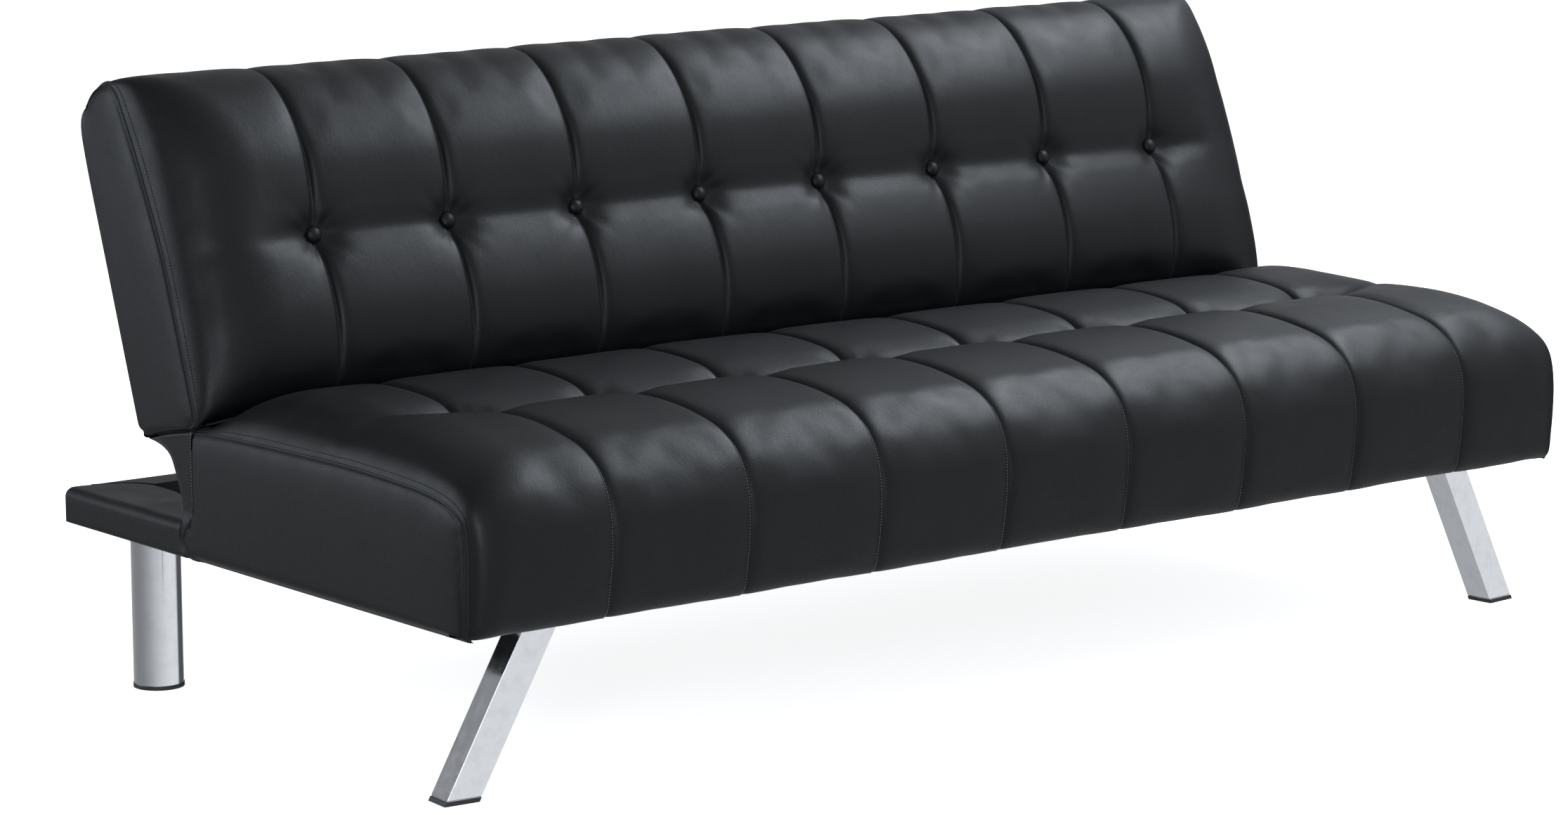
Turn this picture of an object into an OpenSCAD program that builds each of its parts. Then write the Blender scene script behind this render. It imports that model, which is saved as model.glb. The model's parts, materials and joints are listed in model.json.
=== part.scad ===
// Futon sofa bed: a padded seat box on four legs, a low rear shelf, and a backrest that reclines flat.
// Millimetres. X runs along the sofa, Y from front to back, Z up. The origin is on the floor, centred.

/* [Sofa] */
// Width of the seat and the backrest
sofa_w = 1690; // [1500:10:1900]
// Depth from the seat's front to the shelf's rear
sofa_d = 860; // [800:10:920]
// Height of the upholstery's underside above the floor
under_z = 194; // [170:1:220]
// Number of stitched panels along the sofa
panels = 9; // [7:1:11]
// Width of one stitched panel
panel_w = 189; // [150:1:200]

/* [Seat] */
// Height of the seat's top
seat_top = 388; // [370:1:400]
// Depth of the seat box
seat_d = 573; // [540:1:600]
// Radius of the seat's front top edge
seat_edge_r = 50; // [30:1:70]
// How far the seat's top drops at its rear edge
seat_rear_drop = 46; // [44:1:52]
// Thickness of the foam on the seat's sides and front
side_pad = 20; // [12:1:24]

/* [Shelf] */
// Height of the shelf's top
shelf_top = 233; // [225:1:236]

/* [Backrest] */
// Length of the backrest along its slope
back_len = 405; // [380:1:440]
// Thickness of the backrest at its side seam
back_t = 120; // [100:1:130]
// How far the backrest's front crowns beyond its side seam
back_crown = 45; // [20:1:48]
// Depth of the crease across the backrest at the button row
back_crease = 9; // [4:1:15]
// Lean of the backrest from vertical when it is upright
back_tilt = 19; // [15:1:22]
// Distance from the hinge pin to the backrest's rear face
hinge_to_rear = 88; // [80:1:92]
// Distance from the hinge pin to the backrest's lower end
hinge_to_end = 23; // [21:1:28]
// Diameter of a covered button
button_d = 20; // [16:1:24]
// Distance from the backrest's lower end to the button row
button_row = 188; // [170:1:210]

/* [Hinge] */
// Distance from the seat's rear face to the hinge pin
hinge_set_back = 13; // [8:1:20]
// Height of the hinge pin above the floor
hinge_z = 330; // [325:1:335]
// Radius of the hinge pin
pin_r = 6; // [5:0.5:7]
// Thickness of a hinge plate
hinge_plate_t = 3; // [2:0.5:3]

/* [Front legs] */
// Width of the square tube
leg_w = 38; // [30:1:45]
// Depth of the square tube
leg_d = 36; // [30:1:45]
// Outward lean of a front leg from vertical
leg_splay = 28.5; // [20:0.5:30]
// Turn of a front leg in plan
leg_turn = 5; // [0:1:10]
// Distance from the sofa's centre to the middle of a front foot
foot_x = 814; // [790:1:820]
// Distance from the seat's front to the middle of a front foot
foot_inset = 95; // [80:1:110]

/* [Rear legs] */
// Diameter of the round rear tube
rear_leg_d = 60; // [50:1:70]
// Distance from the sofa's centre to a rear leg
rear_leg_x = 777; // [740:1:780]
// Distance from the shelf's rear edge to a rear leg's middle
rear_leg_inset = 93; // [80:1:110]

/* [Frame] */
// Thickness of the wooden boards
board_t = 22; // [18:1:25]
// Height of the seat's rails
rail_h = 104; // [90:1:106]
// Wall thickness of the leg tubes
tube_wall = 2; // [1.5:0.5:3]
// Thickness of the faux leather
leather_t = 2; // [1:0.5:2]

/* [Hidden] */
$fn = 48;

wood = "burlywood";
steel = "dimgray";
chrome = "silver";
leather = "black";
foam = "khaki";
cloth = "darkslategray";
plastic = "dimgray";

// Clearances between pieces, and how far a cutting shape runs past the face it cuts
gap = 0.3;
slip = 0.1;
run_gap = 0.05;
cut = 1;

// Main planes
half_w = sofa_w / 2;
seat_front = -sofa_d / 2;
shelf_rear = sofa_d / 2;
seat_rear = seat_front + seat_d;
hinge_y = seat_rear + hinge_set_back;
skin_x = half_w - leather_t;
inner = leather_t + slip;
cloth_t = 1;
rail_bottom = under_z + leather_t;
rail_top = rail_bottom + rail_h;
plate_t = 4;
plate_bottom = rail_bottom - plate_t;

// Hinge stack, from the seat rail outwards
hinge_room = 5;
rail_x = skin_x - side_pad - 2 * hinge_plate_t - hinge_room;
washer_t = 1.2;
washer_r = 14;
washer_x = rail_x + hinge_plate_t + slip;
back_plate_x = washer_x + washer_t + slip;
pin_head_t = 2.5;
pin_head_r = 10;
pin_low = rail_x - slip - pin_head_t;
pin_high = back_plate_x + hinge_plate_t + slip;
plate_head_r = 16;
arm_w = 30;
screw_r = 3;
screw_hole_r = 3.2;
screw_head_r = 5.5;
screw_head_t = 2;

// Each hinge plate's arm, from the pin to its end, and how far along it the screws stand
seat_arm = [-110, -85];
back_arm = [62, 137];
screw_steps = [0.5, 0.74, 1];
function arm_screws(arm) = [for (t = screw_steps) arm * t];
hinge_screw_len = 16;

// Outline helpers: an arc and a quadratic curve, both as lists of points
arc_steps = 12;
function arc(c, r, a0, a1) =
    [for (i = [0 : arc_steps]) let (a = a0 + (a1 - a0) * i / arc_steps) c + r * [cos(a), sin(a)]];
function curve(p0, p1, p2) =
    [for (i = [0 : arc_steps]) let (t = i / arc_steps)
        (1 - t) * (1 - t) * p0 + 2 * t * (1 - t) * p1 + t * t * p2];

// Seat section in Y and Z, drawn inside the outer surface by inset
rear_slope_run = 85;
function seat_outline(inset, bottom) = concat(
    [[seat_front + inset, bottom]],
    arc([seat_front + seat_edge_r, seat_top - seat_edge_r], seat_edge_r - inset, 180, 90),
    curve(
        [seat_rear - rear_slope_run, seat_top - inset],
        [seat_rear - rear_slope_run / 2, seat_top - inset],
        [seat_rear - inset, seat_top - seat_rear_drop - inset]
    ),
    [[seat_rear - inset, bottom]]
);

// Backrest section, measured from the hinge pin: first towards the rear, then up the slope
end_u = hinge_to_end;
top_u = hinge_to_end + back_len;
front_top_t = 122;
front_top_r = 30;
rear_top_r = 38;
crown_steps = 32;
crease_w = 30;
button_s = button_row / (top_u - front_top_r - end_u);
function crown(s) = back_crown * (1 - (2 * s - 1) ^ 4);
function crease(s) = back_crease * exp(-((s - button_s) * back_len / crease_w) ^ 2);
function front_line(s, inset) =
    let (t = back_t + (front_top_t - back_t) * s + crown(s) - crease(s))
    [hinge_to_rear - t + inset, end_u + inset + (top_u - front_top_r - end_u - inset) * s];
function back_front(inset) = [for (i = [0 : crown_steps]) front_line(i / crown_steps, inset)];
function back_outline(inset, rear) = concat(
    [[hinge_to_rear - rear, end_u + inset]],
    back_front(inset),
    arc([hinge_to_rear - front_top_t + front_top_r, top_u - front_top_r], front_top_r - inset, 180, 90),
    arc([hinge_to_rear - rear_top_r, top_u - rear_top_r], rear_top_r - rear, 90, 0)
);

// Extrudes a Y-Z section along X from x0 to x1
module along_x(x0, x1) {
    translate([x0, 0, 0])
        rotate([90, 0, 90])
            linear_extrude(height = x1 - x0)
                children();
}

// Places its children in the backrest's own frame, with the hinge pin at the origin and Z up the slope
module on_back() {
    translate([0, hinge_y, hinge_z])
        rotate([-back_tilt, 0, 0])
            children();
}

// A box given by its lowest and highest corners
module box(low, high) {
    translate(low)
        cube(high - low);
}

// Draws its children as they are for the right side, or mirrored for the left side
module side(s) {
    if (s < 0) {
        mirror([1, 0, 0])
            children();
    } else {
        children();
    }
}

// ---------------------------------------------------------------- seat frame
frame_front = seat_front + inner + side_pad + gap;
frame_rear = seat_rear - inner;
middle_drop = 15;

module seat_rail_front() {
    color(wood)
        box([-rail_x, frame_front, rail_bottom], [rail_x, frame_front + board_t, rail_top]);
}

module seat_rail_rear() {
    color(wood)
        box([-rail_x, frame_rear - board_t, rail_bottom], [rail_x, frame_rear, rail_top]);
}

module seat_rail(s) {
    color(wood)
        side(s)
            difference() {
                box(
                    [rail_x - board_t, frame_front + board_t, rail_bottom],
                    [rail_x, frame_rear - board_t, rail_top]
                );
                for (p = arm_screws(seat_arm)) {
                    translate([rail_x - hinge_screw_len, hinge_y + p[0], hinge_z + p[1]])
                        rotate([0, 90, 0])
                            cylinder(h = hinge_screw_len + cut, r = screw_hole_r);
                }
            }
}

module seat_rail_middle() {
    color(wood)
        box(
            [-board_t / 2, frame_front + board_t, rail_bottom],
            [board_t / 2, frame_rear - board_t, rail_top - middle_drop]
        );
}

// ---------------------------------------------------------------- webbing
web_w = 50;
web_t = 2;
web_rows = 4;

// Straps along the sofa lie under the straps from front to rear
module seat_webbing_long() {
    reach = frame_rear - frame_front - 2 * board_t;
    color(cloth)
        for (i = [0 : web_rows - 1]) {
            y = frame_front + board_t + reach * (i + 0.5) / web_rows;
            box(
                [-rail_x, y - web_w / 2, rail_top],
                [rail_x, y + web_w / 2, rail_top + web_t]
            );
        }
}

module seat_webbing_cross() {
    color(cloth)
        for (i = [0 : panels - 1]) {
            x = (i - (panels - 1) / 2) * panel_w;
            box(
                [x - web_w / 2, frame_front, rail_top + web_t],
                [x + web_w / 2, frame_rear, rail_top + 2 * web_t]
            );
        }
}

// ---------------------------------------------------------------- legs
leg_top_x = foot_x - plate_bottom * tan(leg_splay) * cos(leg_turn);
foot_y = seat_front + foot_inset;
leg_top_y = foot_y - plate_bottom * tan(leg_splay) * sin(leg_turn);
rear_leg_y = shelf_rear - rear_leg_inset;
cap_h = 5;
cap_lip = 0.6;
front_plate = [104, 50];
rear_plate = [88, 88];
front_screw_pitch = [84, 24];
rear_screw_pitch = [60, 70];
block_h = 40;
block_w = [130, 66];
leg_screw_len = 16;
screw_spare = 1;
plate_shift = 4;
leg_bar_len = 4 * under_z;

// Four places on a rectangle around a centre
function corners(c, pitch) = [for (i = [-1, 1], j = [-1, 1]) c + [i * pitch[0] / 2, j * pitch[1] / 2]];
front_centre = [leg_top_x, leg_top_y + plate_shift];
rear_centre = [rear_leg_x, rear_leg_y];
function leg_screw_places() = concat(
    corners(front_centre, front_screw_pitch),
    corners(rear_centre, rear_screw_pitch)
);

module leg_blocks() {
    color(wood)
        for (s = [-1, 1]) {
            side(s)
                difference() {
                    union() {
                        box(
                            [leg_top_x - block_w[0] / 2, frame_front + board_t, rail_bottom],
                            [
                                leg_top_x + block_w[0] / 2,
                                frame_front + board_t + block_w[1],
                                rail_bottom + block_h
                            ]
                        );
                        box(
                            [rear_leg_x - rear_plate[0] / 2, rear_leg_y - rear_plate[1] / 2, rail_bottom],
                            [rail_x - board_t, rear_leg_y + rear_plate[1] / 2, shelf_under_board]
                        );
                    }
                    leg_screw_holes();
                }
        }
}

module leg_screw_holes() {
    for (p = leg_screw_places()) {
        translate([p[0], p[1], rail_bottom - cut])
            cylinder(h = leg_screw_len + cut, r = screw_hole_r);
    }
}

// A bar of the leg's section that leans outwards through the middle of the foot, cut level at both ends
module leaning_bar(grow, z0, z1) {
    bar = [leg_w + 2 * grow, leg_d + 2 * grow, leg_bar_len];
    intersection() {
        translate([foot_x, foot_y, 0])
            rotate([0, 0, leg_turn])
                rotate([0, -leg_splay, 0])
                    translate(-bar / 2)
                        cube(bar);
        box([0, seat_front, z0], [sofa_w, 0, z1]);
    }
}

module front_leg(s) {
    color(chrome)
        side(s)
            difference() {
                leaning_bar(0, cap_h, plate_bottom);
                leaning_bar(-tube_wall, cap_h - cut, plate_bottom + cut);
            }
}

module front_foot_cap(s) {
    color(plastic)
        side(s)
            leaning_bar(cap_lip, 0, cap_h);
}

module leg_plate(centre, size, places) {
    color(chrome)
        difference() {
            box(
                [centre[0] - size[0] / 2, centre[1] - size[1] / 2, plate_bottom],
                [centre[0] + size[0] / 2, centre[1] + size[1] / 2, rail_bottom]
            );
            for (p = places) {
                translate([p[0], p[1], plate_bottom - cut])
                    cylinder(h = plate_t + 2 * cut, r = screw_hole_r);
            }
        }
}

module front_leg_plate(s) {
    side(s)
        leg_plate(front_centre, front_plate, corners(front_centre, front_screw_pitch));
}

module rear_leg_plate(s) {
    side(s)
        leg_plate(rear_centre, rear_plate, corners(rear_centre, rear_screw_pitch));
}

module rear_leg(s) {
    color(chrome)
        side(s)
            translate([rear_leg_x, rear_leg_y, cap_h])
                difference() {
                    cylinder(h = plate_bottom - cap_h, d = rear_leg_d);
                    translate([0, 0, -cut])
                        cylinder(h = plate_bottom, d = rear_leg_d - 2 * tube_wall);
                }
}

module rear_foot_cap(s) {
    color(plastic)
        side(s)
            translate([rear_leg_x, rear_leg_y, 0])
                cylinder(h = cap_h, d = rear_leg_d + 2 * cap_lip);
}

module leg_screws() {
    color(steel)
        for (s = [-1, 1], p = leg_screw_places()) {
            side(s)
                translate([p[0], p[1], plate_bottom - screw_head_t]) {
                    cylinder(h = screw_head_t, r = screw_head_r);
                    cylinder(h = screw_head_t + plate_t + leg_screw_len - screw_spare, r = screw_r);
                }
        }
}

// ---------------------------------------------------------------- seat upholstery
foam_bottom = rail_top + 2 * web_t;
seat_rear_top = seat_top - seat_rear_drop - leather_t;

module seat_foam() {
    color(foam)
        along_x(-rail_x, rail_x)
            intersection() {
                polygon(seat_outline(inner, under_z));
                translate([seat_front, foam_bottom])
                    square([seat_d, seat_top]);
            }
}

module seat_front_pad() {
    color(foam)
        box(
            [-rail_x, seat_front + inner, rail_bottom],
            [rail_x, frame_front - gap, foam_bottom]
        );
}

module seat_side_pad(s) {
    color(foam)
        side(s)
            along_x(skin_x - side_pad, skin_x)
                polygon(seat_outline(inner, rail_bottom));
}

// Top and front in one piece of faux leather
module seat_cover() {
    color(leather)
        along_x(-skin_x, skin_x)
            difference() {
                polygon(seat_outline(0, under_z));
                polygon(seat_outline(leather_t, 0));
                translate([seat_rear - leather_t - cut, 0])
                    square([leather_t + 2 * cut, seat_rear_top]);
            }
}

module seat_side_panel(s) {
    color(leather)
        side(s)
            along_x(skin_x, half_w)
                polygon(seat_outline(0, under_z));
}

module seat_rear_cloth() {
    color(cloth)
        box(
            [-rail_x, seat_rear - leather_t, shelf_top + gap],
            [rail_x, seat_rear - leather_t + cloth_t, seat_rear_top - gap]
        );
}

module dust_cloth() {
    color(cloth)
        difference() {
            box(
                [-skin_x + gap, seat_front + leather_t + gap, rail_bottom - cloth_t],
                [skin_x - gap, shelf_rear - leather_t - gap, rail_bottom]
            );
            for (s = [-1, 1]) {
                side(s) {
                    dust_cloth_opening(front_centre, front_plate);
                    dust_cloth_opening(rear_centre, rear_plate);
                }
            }
        }
}

module dust_cloth_opening(centre, size) {
    translate([centre[0] - size[0] / 2 - gap, centre[1] - size[1] / 2 - gap, under_z])
        cube([size[0] + 2 * gap, size[1] + 2 * gap, leather_t + cut]);
}

// ---------------------------------------------------------------- shelf
shelf_board_t = 12;
shelf_front = seat_rear + gap;
shelf_under_board = shelf_top - leather_t - shelf_board_t;

module shelf_board() {
    color(wood)
        box(
            [-skin_x + gap, shelf_front, shelf_under_board],
            [skin_x - gap, shelf_rear - leather_t - gap, shelf_top - leather_t]
        );
}

module shelf_rail_rear() {
    color(wood)
        box(
            [-skin_x + gap, shelf_rear - leather_t - gap - board_t, rail_bottom],
            [skin_x - gap, shelf_rear - leather_t - gap, shelf_under_board]
        );
}

// Each side rail of the shelf butts against the seat's rear rail with a tongue
module shelf_rail(s) {
    color(wood)
        side(s)
            difference() {
                union() {
                    box(
                        [rail_x - board_t, shelf_front, rail_bottom],
                        [skin_x - gap, shelf_rear - leather_t - gap - board_t, shelf_under_board]
                    );
                    box(
                        [rail_x - board_t, frame_rear, rail_bottom],
                        [rail_x, shelf_front + cut, shelf_under_board]
                    );
                }
                leg_screw_holes();
            }
}

// A lid of faux leather over the shelf's top border, rear edge and ends
border = 60;
module shelf_cover() {
    color(leather)
        difference() {
            box([-half_w, shelf_front, under_z], [half_w, shelf_rear, shelf_top]);
            box(
                [-skin_x, shelf_front - cut, under_z - cut],
                [skin_x, shelf_rear - leather_t, shelf_top - leather_t]
            );
            box(
                [-half_w + border, shelf_front - cut, under_z],
                [half_w - border, shelf_rear - border, shelf_top + cut]
            );
        }
}

module shelf_cloth() {
    color(cloth)
        box(
            [-half_w + border + gap, shelf_front, shelf_top - leather_t],
            [half_w - border - gap, shelf_rear - border - gap, shelf_top - leather_t + cloth_t]
        );
}

// ---------------------------------------------------------------- hinges
// A flat plate with round heads at the pin and at the arm's far end, and a row of screws
module hinge_plate(x, arm) {
    turn = atan2(arm[1], arm[0]);
    along_x(x, x + hinge_plate_t)
        difference() {
            union() {
                circle(r = plate_head_r);
                rotate(turn)
                    translate([0, -arm_w / 2])
                        square([norm(arm), arm_w]);
                translate(arm)
                    circle(r = plate_head_r);
            }
            circle(r = pin_r + run_gap);
            for (p = arm_screws(arm)) {
                translate(p)
                    circle(r = screw_hole_r);
            }
        }
}

module hinge_seat_plate(s) {
    color(steel)
        side(s)
            translate([0, hinge_y, hinge_z])
                hinge_plate(rail_x, seat_arm);
}

module hinge_back_plate(s) {
    color(steel)
        on_back()
            side(s)
                hinge_plate(back_plate_x, back_arm);
}

module hinge_pins() {
    color(chrome)
        for (s = [-1, 1]) {
            side(s)
                translate([pin_low, hinge_y, hinge_z])
                    rotate([0, 90, 0]) {
                        cylinder(h = pin_head_t, r = pin_head_r);
                        cylinder(h = pin_high - pin_low + pin_head_t, r = pin_r);
                        translate([0, 0, pin_high - pin_low])
                            cylinder(h = pin_head_t, r = pin_head_r);
                    }
        }
}

module hinge_washers() {
    color(plastic)
        for (s = [-1, 1]) {
            side(s)
                translate([washer_x, hinge_y, hinge_z])
                    rotate([0, 90, 0])
                        difference() {
                            cylinder(h = washer_t, r = washer_r);
                            translate([0, 0, -cut])
                                cylinder(h = washer_t + 2 * cut, r = pin_r + run_gap);
                        }
        }
}

module hinge_screw(x, length) {
    translate([x, 0, 0])
        rotate([0, 90, 0])
            cylinder(h = screw_head_t, r = screw_head_r);
    translate([x - length, 0, 0])
        rotate([0, 90, 0])
            cylinder(h = length + screw_head_t, r = screw_r);
}

module hinge_seat_screws() {
    color(steel)
        for (s = [-1, 1], p = arm_screws(seat_arm)) {
            side(s)
                translate([0, hinge_y + p[0], hinge_z + p[1]])
                    hinge_screw(rail_x + hinge_plate_t, hinge_screw_len);
        }
}

module hinge_back_screws() {
    color(steel)
        on_back()
            for (s = [-1, 1], p = arm_screws(back_arm)) {
                side(s)
                    translate([0, p[0], p[1]])
                        hinge_screw(back_plate_x + hinge_plate_t, hinge_screw_len);
            }
}

// A web of faux leather over the hinge, sewn to the seat's side, free along its curved rear edge
gusset_low = shelf_top + gap;
gusset_low_w = 20;
gusset_top_w = 84;
gusset_bow = [2, 4];
module hinge_gusset(s) {
    end_low = hinge_z + end_u * cos(back_tilt) - gap;
    end_drop = tan(back_tilt);
    y0 = shelf_front;
    top_z0 = end_low - (y0 - hinge_y - end_u * sin(back_tilt)) * end_drop - gap;
    top_z1 = top_z0 - gusset_top_w * end_drop;
    color(leather)
        side(s)
            along_x(skin_x, half_w)
                polygon(concat(
                    [[y0, top_z0], [y0, gusset_low]],
                    curve(
                        [y0 + gusset_low_w, gusset_low],
                        [y0 + gusset_low_w - gusset_bow[0], top_z1 - gusset_bow[1]],
                        [y0 + gusset_top_w, top_z1]
                    )
                ));
}

// ---------------------------------------------------------------- backrest frame
frame_v = hinge_to_rear - leather_t - gap;
stile_d = 62;
top_pad = 35;
stile_low = end_u + leather_t + gap;
stile_high = top_u - top_pad;
back_frame_x = back_plate_x;

module back_stile(s) {
    color(wood)
        on_back()
            side(s)
                difference() {
                    box(
                        [back_frame_x - board_t, frame_v - stile_d, stile_low],
                        [back_frame_x, frame_v, stile_high]
                    );
                    for (p = arm_screws(back_arm)) {
                        translate([back_frame_x - hinge_screw_len, p[0], p[1]])
                            rotate([0, 90, 0])
                                cylinder(h = hinge_screw_len + cut, r = screw_hole_r);
                    }
                }
}

module back_stile_middle() {
    color(wood)
        on_back()
            box(
                [-board_t / 2, frame_v - stile_d, stile_low + board_t],
                [board_t / 2, frame_v, stile_high - board_t]
            );
}

module back_rail(z) {
    color(wood)
        on_back()
            box(
                [-back_frame_x + board_t, frame_v - stile_d, z],
                [back_frame_x - board_t, frame_v, z + board_t]
            );
}

module back_rail_top() {
    back_rail(stile_high - board_t);
}

module back_rail_bottom() {
    back_rail(stile_low);
}

module back_webbing() {
    reach = stile_high - stile_low;
    color(cloth)
        on_back()
            for (i = [0 : web_rows - 1]) {
                z = stile_low + reach * (i + 0.5) / web_rows;
                box(
                    [-back_frame_x, frame_v - stile_d - web_t, z - web_w / 2],
                    [back_frame_x, frame_v - stile_d, z + web_w / 2]
                );
            }
}

// ---------------------------------------------------------------- backrest upholstery
foam_v = frame_v - stile_d - web_t - gap;

// The foam lies in front of the frame and folds over its top
module back_foam() {
    color(foam)
        on_back()
            along_x(-back_frame_x, back_frame_x)
                intersection() {
                    polygon(back_outline(inner, inner));
                    union() {
                        translate([foam_v - 2 * back_t, 0])
                            square([2 * back_t, 2 * back_len]);
                        translate([-back_t, stile_high + gap])
                            square([2 * back_t, back_len]);
                    }
                }
}

module back_side_pad(s) {
    color(foam)
        on_back()
            side(s)
                along_x(skin_x - side_pad, skin_x)
                    polygon(back_outline(inner, inner));
}

// Front, top and lower end in one piece of faux leather, with a slot at each end for the hinge plate
plate_slot = [-10, 32];
module back_cover() {
    color(leather)
        on_back()
            difference() {
                along_x(-skin_x, skin_x)
                    difference() {
                        polygon(back_outline(0, 0));
                        polygon(back_outline(leather_t, leather_t));
                        translate([hinge_to_rear - leather_t, 0])
                            square([leather_t + cut, top_u - rear_top_r]);
                    }
                for (s = [-1, 1]) {
                    side(s)
                        box(
                            [back_plate_x - gap, plate_slot[0], end_u - cut],
                            [back_plate_x + hinge_plate_t + gap, plate_slot[1], end_u + leather_t + cut]
                        );
                }
            }
}

module back_side_panel(s) {
    color(leather)
        on_back()
            side(s)
                along_x(skin_x, half_w)
                    polygon(back_outline(0, 0));
}

module back_rear_panel() {
    color(leather)
        on_back()
            box(
                [-skin_x, hinge_to_rear - leather_t, end_u],
                [skin_x, hinge_to_rear, top_u - rear_top_r]
            );
}

// Covered buttons on the crown of the front, one at every channel between two panels
button_h = 7;
button_rim = 3;
module button() {
    dome_r = (button_d * button_d / 4 + (button_h - button_rim) ^ 2) / 2 / (button_h - button_rim);
    cylinder(h = button_rim, d = button_d);
    translate([0, 0, button_rim])
        intersection() {
            cylinder(h = button_h - button_rim, d = button_d);
            translate([0, 0, button_h - button_rim - dome_r])
                sphere(r = dome_r);
        }
}

module back_buttons() {
    rise = back_crease * (1 - exp(-(button_d / 2 / crease_w) ^ 2));
    crown_y = front_line(button_s, 0)[0] - rise;
    color(leather)
        on_back()
            for (i = [1 : panels - 1]) {
                translate([(i - panels / 2) * panel_w, crown_y - gap, end_u + button_row])
                    rotate([90, 0, 0])
                        button();
            }
}

seat_rail_front();
seat_rail_rear();
seat_rail(-1);  // seat_rail_left
seat_rail(1);  // seat_rail_right
seat_rail_middle();
seat_webbing_long();
seat_webbing_cross();
leg_blocks();
seat_foam();
seat_front_pad();
seat_side_pad(-1);  // seat_side_pad_left
seat_side_pad(1);  // seat_side_pad_right
seat_cover();
seat_side_panel(-1);  // seat_side_panel_left
seat_side_panel(1);  // seat_side_panel_right
seat_rear_cloth();
dust_cloth();
hinge_gusset(-1);  // hinge_gusset_left
hinge_gusset(1);  // hinge_gusset_right
shelf_board();
shelf_rail_rear();
shelf_rail(-1);  // shelf_rail_left
shelf_rail(1);  // shelf_rail_right
shelf_cover();
shelf_cloth();
front_leg(-1);  // front_leg_left
front_leg(1);  // front_leg_right
front_leg_plate(-1);  // front_leg_plate_left
front_leg_plate(1);  // front_leg_plate_right
front_foot_cap(-1);  // front_foot_cap_left
front_foot_cap(1);  // front_foot_cap_right
rear_leg(-1);  // rear_leg_left
rear_leg(1);  // rear_leg_right
rear_leg_plate(-1);  // rear_leg_plate_left
rear_leg_plate(1);  // rear_leg_plate_right
rear_foot_cap(-1);  // rear_foot_cap_left
rear_foot_cap(1);  // rear_foot_cap_right
leg_screws();
hinge_seat_plate(-1);  // hinge_seat_plate_left
hinge_seat_plate(1);  // hinge_seat_plate_right
hinge_pins();
hinge_washers();
hinge_seat_screws();
hinge_back_plate(-1);  // hinge_back_plate_left
hinge_back_plate(1);  // hinge_back_plate_right
hinge_back_screws();
back_stile(-1);  // back_stile_left
back_stile(1);  // back_stile_right
back_stile_middle();
back_rail_top();
back_rail_bottom();
back_webbing();
back_foam();
back_side_pad(-1);  // back_side_pad_left
back_side_pad(1);  // back_side_pad_right
back_cover();
back_side_panel(-1);  // back_side_panel_left
back_side_panel(1);  // back_side_panel_right
back_rear_panel();
back_buttons();
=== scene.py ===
"""Looks of the futon sofa bed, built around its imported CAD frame. Metres, +Z up, +Y to the back."""

import json
import math

import bmesh
import bpy
import numpy as np
from mathutils import Euler, Matrix, Vector


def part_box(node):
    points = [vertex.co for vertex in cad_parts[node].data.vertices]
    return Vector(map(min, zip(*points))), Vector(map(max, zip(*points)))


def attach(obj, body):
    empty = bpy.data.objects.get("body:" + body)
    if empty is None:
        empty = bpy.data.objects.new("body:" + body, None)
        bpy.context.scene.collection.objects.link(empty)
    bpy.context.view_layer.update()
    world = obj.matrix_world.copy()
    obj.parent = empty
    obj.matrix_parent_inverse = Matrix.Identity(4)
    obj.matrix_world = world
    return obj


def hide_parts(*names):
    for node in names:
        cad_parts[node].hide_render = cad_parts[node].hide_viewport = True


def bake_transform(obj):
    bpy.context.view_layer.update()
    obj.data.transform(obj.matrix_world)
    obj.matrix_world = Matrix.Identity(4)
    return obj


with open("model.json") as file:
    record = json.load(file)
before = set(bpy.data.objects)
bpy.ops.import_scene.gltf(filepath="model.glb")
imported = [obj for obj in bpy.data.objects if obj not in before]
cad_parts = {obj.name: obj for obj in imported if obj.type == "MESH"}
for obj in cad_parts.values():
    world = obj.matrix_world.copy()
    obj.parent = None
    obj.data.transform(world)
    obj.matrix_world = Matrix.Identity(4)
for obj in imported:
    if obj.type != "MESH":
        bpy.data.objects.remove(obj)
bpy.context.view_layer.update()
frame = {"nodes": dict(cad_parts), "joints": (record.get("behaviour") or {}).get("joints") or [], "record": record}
NODES = frame["nodes"]
MM = 0.001

# ---------------------------------------------------------------- what the frame says
HINGE = frame["joints"][0]["pos_m"]
HINGE_Y, HINGE_Z = HINGE[1] / MM, HINGE[2] / MM
HALF_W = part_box("seat_side_panel_right")[1].x / MM
UNDER_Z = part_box("seat_cover")[0].z / MM
SEAT_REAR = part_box("seat_cover")[1].y / MM
SHELF_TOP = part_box("shelf_cover")[1].z / MM
SHELF_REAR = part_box("shelf_cover")[1].y / MM
BUTTON_LOW, BUTTON_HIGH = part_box("back_buttons")
PANELS = 9
BUTTON_R = 10.0
PITCH = (BUTTON_HIGH.x - BUTTON_LOW.x - 2 * BUTTON_R * MM) / (PANELS - 2) / MM
SEAMS = [(i - PANELS / 2) * PITCH for i in range(1, PANELS)]
SEAM_X = HALF_W - 2

# The backrest's own frame: u up the slope from its lower end, v forward from its rear face
TILT = math.radians(19.0)
END_U = 23.0
REAR_V = 88.0

rng = np.random.default_rng(11)


def back_point(u, v):
    """Y and Z, in millimetres, of a point given in the backrest's own frame."""
    y, z = REAR_V - v, END_U + u
    c, s = math.cos(TILT), math.sin(TILT)
    return HINGE_Y + y * c + z * s, HINGE_Z - y * s + z * c


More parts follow.
